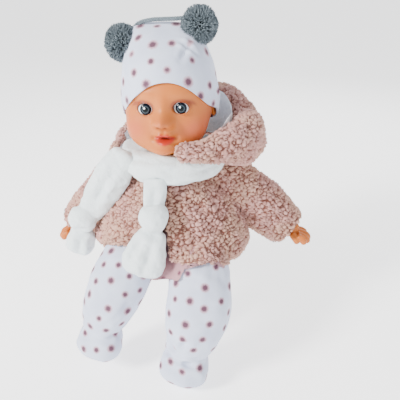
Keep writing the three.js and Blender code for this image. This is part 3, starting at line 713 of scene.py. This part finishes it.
def eye_opening(points, centre):
    """Below 1 inside the lids' opening, and above 1 outside it."""
    across = (points[:, 0] - centre[0]) / LID_WIDTH
    up = (points[:, 2] - centre[2]) / LID_RISE
    up = np.where(up > 0, up, up * 1.18)
    return np.abs(across) ** 2 + np.abs(up) ** 1.8


def set_eyelids(points):
    """Lids lie on the eyeballs, and the skin dips behind them in the openings."""
    for centre in EYES.values():
        points = sculpt(points, centre - np.array((0, 6, 0)), (9, 9, 7), (0, 2.6, 0))
        offset = points - np.array(centre)
        flat = offset[:, 0] ** 2 + offset[:, 2] ** 2
        front = points[:, 1] < -20
        lid = centre[1] - np.sqrt(np.clip((EYE_RADIUS + 1.3) ** 2 - flat, 0, None))
        near = front & (flat < (EYE_RADIUS + 1.2) ** 2)
        points[:, 1] = np.where(near, np.minimum(points[:, 1], lid), points[:, 1])
        behind = centre[1] - np.sqrt(np.clip(EYE_RADIUS ** 2 - flat, 0, None)) + 1.6
        open_share = 1 - smoothstep(0.86, 1.05, eye_opening(points, centre))
        points[:, 1] = np.where(front, points[:, 1] + (behind - points[:, 1]) * open_share, points[:, 1])
    return points


def bump_mask(points, x, z, wide, high):
    """1 at a place on the face, falling off by a bell curve."""
    spread = ((points[:, 0] - x) / wide) ** 2 + ((points[:, 2] - z) / high) ** 2
    return np.exp(-spread) * (points[:, 1] < -15)


def paint_face(piece):
    points = positions(piece)
    blush = sum(bump_mask(points, side * 29, 158, 13, 11) for side in (-1, 1))
    blush += 0.45 * bump_mask(points, 1, 168, 7, 5) + 0.35 * bump_mask(points, 1, 139, 9, 6)
    # A wide patch on the face's left side, towards the ear, is painted shade for the side turned from the
    # key light.
    blush += 0.5 * bump_mask(points, 41, 164, 9, 18)
    shade = np.zeros(len(points))
    dark = np.zeros(len(points))
    for centre in EYES.values():
        outer = np.sign(centre[0])
        opening = eye_opening(points, centre)
        front = points[:, 1] < -20
        above = smoothstep(-2.0, 2.5, points[:, 2] - centre[2])
        shade += front * (1 - smoothstep(1.0, 2.5, opening)) * (0.25 + 0.5 * above)
        arc = centre[2] + 7.3 - 0.030 * (points[:, 0] - centre[0] - outer * 1.0) ** 2
        along = 1 - smoothstep(8.0, 14.0, np.abs(points[:, 0] - centre[0] - outer * 2.5))
        shade += front * along * np.exp(-((points[:, 2] - arc) / 1.7) ** 2) * 0.95
        shade += 0.35 * bump_mask(points, centre[0] + outer * 9, centre[2] + 5, 5, 4)
        line = np.exp(-((opening - 1.08) / 0.17) ** 2)
        dark += front * line * (0.15 + 0.75 * above)
        # Inside the opening, behind the eyeball, the skin is painted dark as painted shade in the socket.
        dark += front * (opening < 0.95) * 0.7
    across = (points[:, 0] - MOUTH[0]) / 9.9
    up = points[:, 2] - MOUTH[1]
    bow = 4.6 + 1.3 * np.exp(-((np.abs(across) - 0.35) / 0.22) ** 2)
    reach = np.where(up > 0, up / bow, -up / 5.6)
    lips = (points[:, 1] < -30) * (1 - smoothstep(0.80, 1.12, np.sqrt(across ** 2 + reach ** 2)))
    # The gap between the parted lips is painted dark as painted shade.
    slit = bump_mask(points, MOUTH[0], MOUTH[1] + 0.4, 5.8, 1.5) * 0.75
    # The nostrils and a band under the nose are painted shade.
    nostrils = sum(bump_mask(points, 1 + side * 3.0, 163.6, 1.5, 1.0) for side in (-1, 1))
    shade += 0.55 * bump_mask(points, 1, 162.6, 5.2, 1.6)
    attribute(piece, "blush", np.clip(blush, 0, 1))
    attribute(piece, "shade", np.clip(shade, 0, 1))
    attribute(piece, "lips", lips)
    attribute(piece, "dark", np.clip(dark + slit + nostrils * 0.85, 0, 1))


def plain_skin(piece, knuckles=()):
    points = positions(piece)
    rosy = np.zeros(len(points))
    for centre in knuckles:
        rosy += np.exp(-np.sum(((points - np.array(centre)) / 4.0) ** 2, axis=1)) * 0.5
    attribute(piece, "blush", np.clip(rosy, 0, 1))
    for name in ("shade", "lips", "dark"):
        attribute(piece, name, np.zeros(len(points)))


def make_ear(side):
    shell = ball((side * 45.2, -3, 172), (3.6, 7.2, 10.5), 40, 28)
    points = positions(shell)
    points = sculpt(points, (side * 49, -4.5, 174), (4, 3.2, 5.0), (-side * 2.6, 0, 0))
    points = sculpt(points, (side * 49, -8, 168), (3, 2, 3), (-side * 1.2, 0, 0))
    put_positions(shell, points)
    return shell


def make_head(vinyl):
    skull = cloth_surface("skull", 230, 170, egg)
    put_positions(skull, set_eyelids(face_features(positions(skull))))
    neck = tube("neck", [[0, 0, 101, 16, 16], [0, -1, 122, 16.5, 16.5], [0, -5, 148, 20, 20]], 40, 20, cap=1)
    head = join("sculpted_head", [skull, neck, make_ear(-1), make_ear(1)])
    paint_face(head)
    finish(head, vinyl, "head", ["head_shell"])
    for name, centre in EYES.items():
        eye = ball(centre, (EYE_RADIUS,) * 3, 48, 32)
        eye.name = "glass_" + name
        metres = tuple(c * MM for c in centre)
        finish(eye, eye_material("eye_glass_" + name, metres, (0.0004, 0.0003)), "head", [name])


FINGERTIPS = ((155, 8, 4.5), (159.5, 14.5, 3), (161, 22.5, 3), (158, 30, 4))
SHOULDER = (38.0, 6.0, 100.0)
RIGHT_ARM_DROP = math.radians(6)


def on_side(station, side):
    """An arm's points are given for the left; the right arm also turns down about its shoulder."""
    x, y, z, *sizes = station
    drop = RIGHT_ARM_DROP if side < 0 else 0.0
    out, rise = x - SHOULDER[0], z - SHOULDER[2]
    return [side * (SHOULDER[0] + out * math.cos(drop) + rise * math.sin(drop)), y,
            SHOULDER[2] + rise * math.cos(drop) - out * math.sin(drop), *sizes]


def make_hand(side, vinyl):
    """A forearm that ends in a mitten palm with four separate fingers and a thumb."""
    def at(x, y, z):
        return on_side((x, y, z), side)

    parts = [tube("arm", [at(99, 16, 54) + [12, 12], at(112, 18, 43) + [12.5, 12.5],
                          at(126, 21, 30) + [10.5, 10.5],
                          at(138, 22, 19) + [9, 9], at(146, 22, 13.5) + [10.5, 7]], 40, 40, cap=5)]
    knuckles = []
    for tip_x, tip_y, tip_z in FINGERTIPS:
        base = at(145, 12 + (tip_y - 10) * 0.85, 14)
        middle = at(tip_x - 3.0, tip_y, tip_z + 6.5)
        knuckles.append(at(151, 12 + (tip_y - 10) * 0.9, 12))
        parts.append(tube("finger", [base + [4.6, 4.6], middle + [4.3, 4.3],
                                     at(tip_x, tip_y, tip_z) + [3.5, 3.5]],
                          20, 20, cap=3.6))
    parts.append(tube("thumb", [at(139, 14, 16) + [4.6, 4.6], at(144, 8, 11) + [4.0, 4.0],
                                at(147, 4.5, 6.5) + [3.4, 3.4]], 20, 20, cap=3.6))
    hand = join("hand", parts)
    soften(hand, 0.75, 4)
    label = "left" if side > 0 else "right"
    hand.name = label + "_hand"
    plain_skin(hand, knuckles)
    finish(hand, vinyl, label + "_arm", [label + "_forearm"])


# Hat
HAT = [[0, 0, 130, 34, 38], [0, -2, 148, 41, 45], [0, -3, 166, 47, 52], [0, -3, 188, 48.5, 54.5],
       [-1, -2, 210, 46, 50],
       [-2, -1, 224, 42, 43], [-3, 0, 237, 37, 31], [-4, 1, 246, 32.5, 18], [-4, 1, 251, 28.5, 8]]
POMPOMS = {"right_pompom": (-46, -5, 232), "left_pompom": (30.5, -6, 249)}
POMPOM_RADIUS = 19.3
HAT_TOP = 251.5


def hat_place(u, v):
    """The hat's outside: an arched brim, straight sides, and a top that closes along a ridge."""
    angle = u * TAU
    c, s = np.cos(angle), np.sin(angle)
    z = np.full(len(u), 200.0)
    for _ in range(12):
        # The brim's height depends on how far forward the side is there.
        rows = hat_rows(z)
        y = rows[:, 1] + rows[:, 4] * s
        x = rows[:, 0] + rows[:, 3] * c
        fall = np.where(x < 5, 0.0152, 0.018) * (x - 5) ** 2
        z = np.maximum(141.0, 204.0 - fall - 0.9 * np.clip(y + 15, 0, None))
    height = z + (HAT_TOP - z) * np.clip(v, 0, 1)
    rows = hat_rows(height)
    near_top = np.clip((height - 236) / 15.5, 0, 1)
    shut = np.sqrt(np.clip(1 - near_top ** 3, 0, 1))
    power = 1 - 0.25 * near_top
    x = rows[:, 0] + rows[:, 3] * squared(c, power)
    y = rows[:, 1] + rows[:, 4] * s * shut
    return np.stack([x, y, height], axis=1)


def hat_rows(heights):
    fine = spline(HAT, np.linspace(0, 1, 300))
    return np.stack([np.interp(heights, fine[:, 2], fine[:, k]) for k in range(5)], axis=1)


def make_hat(jersey):
    hat = cloth_surface("jersey_hat", 200, 100, hat_place, closed=False)
    edit(hat, face_out)
    thicken(hat, 1.3)
    wrinkle(hat, 17, 0.55, salt=3, stretch=(1, 1, 1.6))
    for line in (((17, -42, 222), (27, -20, 243), 2.6, 2.4), ((12, -30, 240), (33, -28, 226), 2.2, 2.0),
                 ((-40, -18, 234), (-34, -38, 206), 2.8, 1.6), ((47, -22, 196), (50, 0, 170), 2.8, 1.5)):
        fold(hat, *line)
    points = positions(hat)
    for side in (-1, 1):
        points = sculpt(points, (side * 48.5, -3, 173), (8, 13, 15), (side * 3.2, 0, 0))
    put_positions(hat, points)
    dots(hat, 17.0, 5, 1.5)
    finish(hat, jersey, "head", ["hat"])


def make_pompom(name, centre, yarn, salt):
    """Cut yarn ends that stand out all round a small core."""
    random = np.random.default_rng(salt)
    strands = 2300
    index = np.arange(strands) + 0.5
    polar = np.arccos(1 - 2 * index / strands)
    around = math.pi * (1 + 5 ** 0.5) * index
    out = np.stack([np.cos(around) * np.sin(polar), np.sin(around) * np.sin(polar), np.cos(polar)], axis=1)
    out += random.normal(0, 0.085, out.shape)
    out /= np.linalg.norm(out, axis=1)[:, None]
    low = smooth_noise(out * 2.4, salt)
    reach = POMPOM_RADIUS * (0.95 + 0.05 * low + random.uniform(-0.06, 0.03, strands))
    side = np.cross(out, random.normal(0, 1, out.shape))
    side /= np.linalg.norm(side, axis=1)[:, None]
    third = np.cross(out, side)
    corners = []
    for level, width in ((8.0, 0.25), (0.86, 0.62), (1.0, 0.42)):
        distance = np.full(strands, level) if level > 1 else reach * level
        for k in range(3):
            ring = side * math.cos(TAU * k / 3) + third * math.sin(TAU * k / 3)
            corners.append(out * distance[:, None] + ring * width)
    points = np.stack(corners, axis=1).reshape(-1, 3) + np.array(centre)
    faces = []
    for n in range(strands):
        base = n * 9
        for level in (0, 3):
            for k in range(3):
                a, b = base + level + k, base + level + (k + 1) % 3
                faces.append((a, b, b + 3, a + 3))
        faces.append((base + 6, base + 7, base + 8))
        faces.append((base + 2, base + 1, base))
    mesh = bpy.data.meshes.new(name)
    mesh.from_pydata((points * MM).tolist(), [], faces)
    piece = bpy.data.objects.new("yarn_" + name, mesh)
    bpy.context.collection.objects.link(piece)
    shade = np.clip(0.45 + 0.30 * np.repeat(low, 9) + np.repeat(random.normal(0, 0.16, strands), 9), 0, 1)
    # Each strand goes from the darkest colour at the core to a lighter tip, as painted shade inside the
    # pom-pom.
    depth = np.tile([0.0] * 3 + [0.75] * 3 + [1.0] * 3, strands)
    attribute(piece, "tint", shade * depth)
    core = ball(centre, (12.0,) * 3, 24, 16)
    # The core takes the darkest colour, as painted shade.
    attribute(core, "tint", np.zeros(len(core.data.vertices)))
    piece = join("yarn_" + name, [piece, core])
    finish(piece, yarn, "head", [name])


CORD_ROUTE = [[-37, -1, 243.5], [-28, -4, 250.5], [-16, -6, 253.5], [-4, -7, 254.3], [8, -7, 254.8],
              [17, -7, 255.6]]


def make_hat_cord(yarn):
    """Three strands plaited together."""
    centre, side, deep, _, length = tube_frames([point + [1, 1] for point in CORD_ROUTE], (0, 1, 0),
                                                np.linspace(0, 1, 60))
    strands = []
    for number in range(3):
        phase = np.linspace(0, length / 7.5 * TAU, 60) + number * TAU / 3
        line = (centre[:, :3] + side * (1.15 * np.sin(phase))[:, None]
                + deep * (0.65 * np.sin(2 * phase))[:, None])
        stations = np.column_stack([line, np.full(60, 1.0), np.full(60, 1.0)])
        strands.append(tube("strand", stations.tolist(), 10, 150, cap=1.0))
    cord = join("braided_cord", strands)
    points = positions(cord)
    attribute(cord, "tint", 0.35 + 0.3 * smooth_noise(points / 1.2, 4))
    finish(cord, yarn, "head", ["hat_cord"])


# Coat: body, sleeves and hood
COAT = [[0, -8, 12, 82, 57], [0, -9, 28, 88, 62], [0, -8, 50, 80, 61], [0, -6, 74, 66, 55],
        [0, -2, 96, 50, 46], [0, 0, 114, 36, 38]]
SLEEVE = [[30, 4, 103, 20, 20], [42, 6, 97, 25, 25], [58, 9, 87, 29, 28], [80, 13, 69, 30, 28],
          [103, 17, 48, 29, 27],
          [120, 20, 33, 27.5, 25], [133, 21.5, 22, 25, 23]]
HOOD = [[-57, -26, 121, 5, 6], [-62, -8, 121, 5.5, 7], [-62, 14, 122, 6, 8], [-55, 46, 127, 11, 14],
        [-22, 76, 138, 21, 28], [34, 76, 146, 23, 33], [64, 44, 147, 19, 32], [78, 8, 139, 19, 27],
        [77, -18, 142, 18, 25], [58, -42, 141, 13, 17], [36, -56, 138.5, 9, 11], [13, -63, 141, 6.5, 9]]
COAT_TOP = 115
HEAD_SWING = 59.0


def coat_place(u, v):
    """From the doll's left front edge round the back to the right front edge."""
    opening = 0.05 + 0.34 * (1 - v) ** 2.2
    start = -math.pi / 2 - 0.03 * (1 - v) + opening * 0.30
    finish_at = -math.pi / 2 + TAU - opening * 0.75
    angle = start + (finish_at - start) * u
    c, s = np.cos(angle), np.sin(angle)
    front = np.clip(-s, 0, 1)
    left_hem = 19 + 15 * np.exp(-((angle + math.pi / 2 - 0.12) / 0.22) ** 2)
    right_hem = 38.0
    hem = np.where(c >= 0, left_hem, right_hem) * front ** 1.5 + 13 * (1 - front ** 1.5)
    hem = hem + 1.6 * np.sin(angle * 7 + 1)
    height = hem + (COAT_TOP - hem) * v
    fine = spline(COAT, np.linspace(0, 1, 200))
    rows = np.stack([np.interp(height, fine[:, 2], fine[:, k]) for k in range(5)], axis=1)
    power = 2.0 / 2.25
    x = rows[:, 0] + rows[:, 3] * squared(c, power)
    y = rows[:, 1] + rows[:, 4] * squared(s, power)
    y = y - np.where(c > -0.1, 15, 5) * (1 - v) ** 1.6 * front
    return np.stack([x, y, height], axis=1)


def make_coat(pile):
    coat = cloth_surface("coat", 170, 46, coat_place, closed=False)
    over_legs(coat, 4.5)
    edit(coat, face_out)
    thicken(coat, 5.0)
    clothed(coat, "sherpa_coat", 1.25, 4)
    for line in (((22, -58, 100), (46, -52, 62)), ((46, -60, 62), (70, -48, 30)),
                 ((-26, -56, 100), (-46, -52, 66)),
                 ((60, 36, 70), (70, 20, 34)), ((-60, 36, 70), (-70, 20, 34)), ((-8, 54, 90), (4, 60, 30))):
        fold(coat, *line, 5.0, 3.0)
    wrinkle(coat, 30, 2.2, salt=21)
    sherpa(coat, 2.1, 4.6, salt=40)
    finish(coat, pile, "torso", ["coat_body"])


def make_sleeve(side, pile):
    label = "left" if side > 0 else "right"
    stations = [on_side(station, side) for station in SLEEVE]
    sleeve = tube("sleeve", stations, 110, 110, cap=16, mouth=16, squareness=2.15)
    clothed(sleeve, label + "_sherpa_sleeve", 1.25, 3)
    for line in (((66, -16, 66), (88, -8, 40)), ((100, -6, 60), (96, 8, 26)), ((116, -4, 42), (112, 8, 14))):
        start, end = [on_side(point, side) for point in line]
        fold(sleeve, start, end, 4.0, 2.4)
    wrinkle(sleeve, 24, 1.8, salt=31)
    sherpa(sleeve, 2.1, 4.6, salt=60)
    finish(sleeve, pile, None, [label + "_sleeve"])
    start = Vector((side * 44, 6, 96)) * MM
    end = Vector((side * 66, 10, 82)) * MM
    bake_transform(sleeve)


def make_hood(pile, lining):
    hood = tube("hood", HOOD, 110, 230, depth=(0, 0, 1), cap=9, squareness=2.1)
    clothed(hood, "sherpa_hood", 1.3, 3)
    for line in (((78, 10, 176), (92, 24, 140), 5.0, 4.0), ((88, -4, 152), (86, 26, 118), 5.0, 3.0),
                 ((66, -26, 150), (84, 0, 132), 4.5, 2.8)):
        fold(hood, *line)
    wrinkle(hood, 26, 2.6, salt=51)
    points = positions(hood)
    reach = np.linalg.norm(points[:, :2], axis=1)
    squeezed = np.maximum(reach, HEAD_SWING) / np.maximum(reach, 1)
    points[:, :2] *= squeezed[:, None]
    put_positions(hood, points)
    sherpa(hood, 2.0, 4.6, keep=lambda p: smoothstep(58, 62, np.linalg.norm(p[:, :2], axis=1)), salt=80)
    finish(hood, pile, "torso", ["hood"])

    def lining_place(u, v):
        # A soft rolled band along the side of the hood that faces the head.
        run = 0.06 + 0.90 * u
        rows, _, _, _, _ = tube_frames(HOOD, (0, 0, 1), run)
        bearing = np.arctan2(rows[:, 1], rows[:, 0])
        high = rows[:, 2] + rows[:, 4] * 0.93
        low = rows[:, 2] - rows[:, 4] * 0.55
        around = v * TAU
        ends = np.sqrt(np.clip(1 - np.abs(2 * u - 1) ** 8, 0, 1))
        middle = (high + low) / 2
        lean = (np.cos(around) * 0.5 + 0.5) * 5.5
        distance = 58.2 + lean + 1.7 * np.sin(around) * ends
        return np.stack([np.cos(bearing) * distance, np.sin(bearing) * distance,
                         middle + (high - low) / 2 * np.cos(around) * ends], axis=1)

    band = cloth_surface("white_hood_lining", 220, 60, lining_place)
    wrinkle(band, 14, 0.8, salt=91)
    finish(band, lining, "torso", ["hood_lining"])


# Scarf
def scarf_wrap_place(u, v):
    angle = u * TAU
    around = v * TAU
    c, s = np.cos(angle), np.sin(angle)
    front = np.clip(-s, 0, 1)
    fat = 14 + 1.5 * np.sin(angle * 2 + 0.6)
    fat = fat + 0.9 * np.sin(around * 3 + angle * 2) + 0.7 * np.sin(around * 5 - angle * 3 + 1)
    flat = 2 / 2.7
    radial = 43 + fat * 0.9 * squared(np.cos(around), flat)
    upward = fat * (0.88 + 0.12 * front) * squared(np.sin(around), flat)
    x = 4 + 1.02 * radial * c
    y = -3 + 1.08 * radial * s
    z = 118.0 + upward + math.tan(math.radians(6)) * (y + 3) * -0.5 - 3.5 * front
    return np.stack([x, y, z], axis=1)


def crease(piece, lines, width, depth, size, salt, stretch=(1, 1, 1)):
    """Folds along the lines, then large and small wrinkles all over."""
    for start, end in lines:
        fold(piece, start, end, width, depth)
    wrinkle(piece, size, 1.3, salt=salt, stretch=stretch)
    wrinkle(piece, 4.5, 0.35, salt=salt + 2)


def make_scarf(fleece):
    wrap = cloth_surface("fleece_scarf_wrap", 260, 70, scarf_wrap_place)
    crease(wrap, (((-44, -44, 126), (10, -62, 119)), ((-10, -63, 110), (44, -44, 118)),
                  ((10, -60, 125), (54, -30, 127)), ((-40, -42, 113), (-12, -58, 104)),
                  ((20, -60, 108), (58, -24, 112)), ((-52, -30, 120), (-30, -54, 118))),
           2.8, 3.0, 15, 101, (1.6, 1.6, 0.8))
    finish(wrap, fleece, "torso", ["scarf_wrap"])

    front = join("front", [
        tube("strip", [[-8, -58, 112, 11, 6], [-8, -64, 98, 11, 6], [-8, -69, 84, 10.5, 7],
                       [-8, -73, 74, 9, 9]],
             80, 60, cap=3),
        tube("knot", [[-18, -72, 71, 7, 11], [-11, -78, 75, 10, 15], [-3, -78, 76, 10, 15],
                      [3, -71, 72, 6, 11]],
             60, 50, depth=(0, 0, 1), cap=7),
        tube("end", [[-8, -76, 68, 11, 8], [-12, -81, 52, 17, 10], [-18, -86, 32, 22, 12],
                     [-23, -88, 16, 20, 11]],
             90, 70, cap=9, squareness=2.5)])
    clothed(front, "fleece_front_tail", 1.2, 5)
    crease(front, (((-6, -70, 106), (-9, -76, 88)), ((-20, -82, 66), (0, -88, 62)),
                   ((-6, -86, 60), (-16, -99, 24)), ((-18, -86, 56), (-32, -96, 34))), 3.4, 2.6, 11, 111)
    finish(front, fleece, "torso", ["scarf_front_tail"])

    tail = join("tail", [
        tube("strip", [[-38, -44, 133, 13, 8], [-51, -42, 114, 18, 9], [-68, -38, 88, 19, 9],
                       [-84, -34, 64, 16, 9],
                       [-94, -31, 48, 11, 9]], 90, 80, cap=6),
        tube("knot", [[-109, -30, 46, 7, 10], [-102, -38, 50, 10, 14], [-92, -39, 50, 10, 14],
                      [-85, -30, 46, 7, 10]],
             60, 50, depth=(0, 0, 1), cap=7),
        tube("end", [[-97, -33, 38, 12, 9], [-103, -35, 21, 15.5, 10.5], [-107, -36, 4, 15, 9.5]],
             90, 60, cap=8, squareness=2.4)])
    clothed(tail, "fleece_right_tail", 1.2, 5)
    crease(tail, (((-54, -50, 114), (-80, -46, 70)), ((-106, -46, 38), (-86, -50, 42)),
                  ((-98, -44, 30), (-106, -48, 2))), 3.8, 2.4, 12, 121)
    finish(tail, fleece, None, ["scarf_right_tail"])
    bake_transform(tail)


# Tunic and footed trousers
TUNIC = [[9, -37, 11, 38, 60], [5, -24, 26, 48, 58], [0, 0, 54, 51, 43], [0, 7, 76, 44, 37],
         [0, 5, 92, 34, 29]]
LEGS = {
    "left": [[28, -26, 28, 25, 25], [32, -48, 24, 29, 25.5], [38, -76, 7, 32, 26], [38, -95, -18, 33, 27],
             [33, -101, -43, 29, 25], [27, -101, -62, 22, 21], [25, -104, -76, 22, 21]],
    "right": [[-28, -26, 28, 25, 25], [-35, -46, 24, 29, 25.5], [-43, -70, 9, 31, 26],
              [-52, -85, -12, 30, 26],
              [-61, -91, -33, 26, 24], [-67, -91, -51, 20, 20], [-69, -94, -64, 21, 20]],
}
FEET = {
    "left": [[27, -101, -62, 21.5, 21], [26, -109, -77, 25, 20.5], [24, -121, -84, 25.5, 16.5],
             [22, -132, -86, 19, 12.5]],
    "right": [[-66, -86, -48, 18, 18], [-68, -96, -63, 23.5, 19], [-70, -110, -70, 24, 15.5],
              [-72, -120, -72, 18, 11.5]],
}
LEG_FOLDS = {
    "left": (((50, -112, -20), (20, -128, -46)), ((10, -116, -50), (44, -122, -58)),
             ((60, -96, -52), (30, -124, -66)),
             ((6, -112, -62), (36, -126, -66)), ((62, -80, 10), (66, -96, -40)),
             ((14, -84, 24), (52, -90, 20)),
             ((10, -66, 36), (30, -92, 6))),
    "right": (((-34, -104, -10), (-60, -112, -34)), ((-84, -96, -40), (-50, -108, -50)),
              ((-88, -94, -52), (-54, -110, -56)),
              ((-20, -72, 30), (-52, -86, 22)), ((-70, -78, 14), (-80, -88, -30)),
              ((-36, -60, 40), (-48, -88, 8))),
}


def make_tunic(jersey):
    def flounce(angle, run):
        return 1 + 0.05 * np.sin(angle * 9) * smoothstep(0.35, 0.0, run)

    tunic = tube("mauve_tunic", TUNIC, 150, 60, cap=5, upright=True, squareness=2.3, shape=flounce)
    over_legs(tunic, 2.2)
    wrinkle(tunic, 14, 1.0, salt=131, stretch=(1, 1, 1.8))
    dots(tunic, 12.5, 133, 1.1)
    finish(tunic, jersey, "torso", ["tunic"])


def make_seat(jersey):
    seat = tube("dotted_seat", [[0, 18, 0, 44, 25], [0, 18, 5, 52, 31], [0, 15, 24, 57, 36],
                                [0, 13, 42, 51, 36],
                                [0, 13, 52, 45, 35]], 130, 60, cap=3, upright=True, squareness=2.2)
    wrinkle(seat, 13, 0.9, salt=141)
    points = positions(seat)
    points[:, 2] = np.maximum(points[:, 2], 0.0)
    put_positions(seat, points)
    dots(seat, 15.5, 143, 1.4)
    finish(seat, jersey, "torso", ["trousers_seat"])


def make_leg(label, jersey):
    side = 1 if label == "left" else -1
    down = tube("leg", LEGS[label], 110, 110, depth=(0, 0.7, -0.7), cap=10, squareness=2.1)
    foot = tube("foot", FEET[label], 70, 60, depth=(0, 0, 1), cap=12, squareness=2.3)
    leg = clothed(join("leg", [down, foot]), label + "_dotted_leg", 1.3, 14)
    for line in LEG_FOLDS[label]:
        fold(leg, *line, 3.0, 3.4)
    wrinkle(leg, 15, 1.1, salt=150 + side, stretch=(1, 1, 1.5))
    dots(leg, 15.5, 160 + side, 1.4)
    finish(leg, jersey, None, [label + "_trouser_leg"])
    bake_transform(leg)


# Stuffed cloth body and limbs, under the clothes
def make_stuffed(name, stations, cloth, body, node, depth=(0, 1, 0)):
    form = tube(name, stations, 64, 60, depth=depth, cap=9.0)
    wrinkle(form, 10, 0.4, salt=len(name))
    finish(form, cloth, body, [node])


def shrunk(stations, margin):
    return [[x, y, z, a - margin, b - margin] for x, y, z, a, b in stations]


def make_stuffing(cloth):
    torso = [[0, 18, 8, 24, 18], [0, 17, 22, 38, 30], [0, 15, 45, 40, 32], [0, 12, 68, 38, 30],
             [0, 9, 86, 34, 28], [0, 3, 97, 23, 21], [0, 0, 104, 19.5, 19.5]]
    make_stuffed("stuffed_body", torso, cloth, "torso", "cloth_body")
    for label, side in (("left", 1), ("right", -1)):
        arm = [on_side((x, y, z, r, r), side) for x, y, z, r in ((40, 7, 98, 16), (62, 10, 86, 16),
                                                                 (82, 13, 69, 14), (97, 15, 56, 11))]
        make_stuffed(label + "_stuffed_arm", arm, cloth, label + "_arm", label + "_upper_arm")
        thigh = shrunk(LEGS[label][:4], 10)
        make_stuffed(label + "_stuffed_thigh", thigh, cloth, label + "_leg", label + "_thigh",
                     (0, 0.7, -0.7))


# Pieces that keep their CAD shape
def dress_frame(vinyl, cloth):
    plastic = material("case_plastic", (0.80, 0.80, 0.78), 0.42)
    door = material("door_plastic", (0.66, 0.67, 0.66), 0.38)
    steel = material("screw_steel", (0.58, 0.58, 0.57), 0.28, metallic=1.0, grain=2500)
    spring = material("spring_steel", (0.50, 0.50, 0.49), 0.25, metallic=1.0, grain=3000)
    cell = material("cell_can", (0.10, 0.22, 0.16), 0.30, metallic=0.35, variation=0.2)
    board = material("board_laminate", (0.020, 0.170, 0.075), 0.45, variation=0.3)
    cone = material("speaker_paper", (0.035, 0.035, 0.038), 0.7, grain=1800, depth=0.0001)
    red = material("button_plastic", (0.620, 0.030, 0.045), 0.32, coat=0.3)
    black = material("switch_plastic", (0.020, 0.020, 0.022), 0.4)
    nylon = material("tie_nylon", (0.82, 0.82, 0.80), 0.45, grain=1600)
    finishes = {
        "voice_case_front": plastic, "voice_case_back": plastic, "battery_door": door,
        "circuit_board": board,
        "speaker": cone, "button_spring": spring, "press_button": red, "power_switch": black,
        "battery_door_screw": steel, "pocket_flap": cloth, "left_lower_leg": vinyl, "right_lower_leg": vinyl,
    }
    finishes.update({f"case_screw_{n}": steel for n in (1, 2, 3)})
    finishes.update({f"battery_cell_{n}": cell for n in (1, 2, 3)})
    finishes.update({name + "_tie": nylon for name in ("neck", "left_arm", "right_arm", "left_leg",
                                                       "right_leg")})
    for name, look in finishes.items():
        piece = bpy.data.objects[name]
        if piece.material_slots:
            piece.material_slots[0].material = look
        else:
            piece.data.materials.append(look)


# The doll
add_camera()
add_studio()

skin = vinyl_material()
calico = plain_cloth_material("calico", (0.80, 0.62, 0.50), (0.68, 0.49, 0.38))
make_head(skin)
make_hand(1, skin)
make_hand(-1, skin)

white_dots = jersey_material("dotted_jersey", (0.590, 0.640, 0.780), (0.490, 0.535, 0.685),
                             (0.085, 0.032, 0.055), (0.500, 0.290, 0.350))
make_hat(white_dots)
wool = yarn_material()
for number, (pompom, centre) in enumerate(POMPOMS.items()):
    make_pompom(pompom, centre, wool, 200 + number)
make_hat_cord(wool)

sherpa_pile = sherpa_material()
make_coat(sherpa_pile)
make_sleeve(1, sherpa_pile)
make_sleeve(-1, sherpa_pile)
make_hood(sherpa_pile, fleece_material("hood_lining_fleece", (0.930, 0.940, 0.970), (0.840, 0.855, 0.900)))
make_scarf(fleece_material("scarf_fleece", (0.880, 0.960, 0.975), (0.780, 0.880, 0.900)))

make_tunic(jersey_material("mauve_jersey", (0.420, 0.235, 0.255), (0.330, 0.175, 0.200),
                           (0.120, 0.035, 0.060), (0.300, 0.140, 0.170)))
make_seat(white_dots)
make_leg("left", white_dots)
make_leg("right", white_dots)

make_stuffing(calico)
dress_frame(skin, calico)
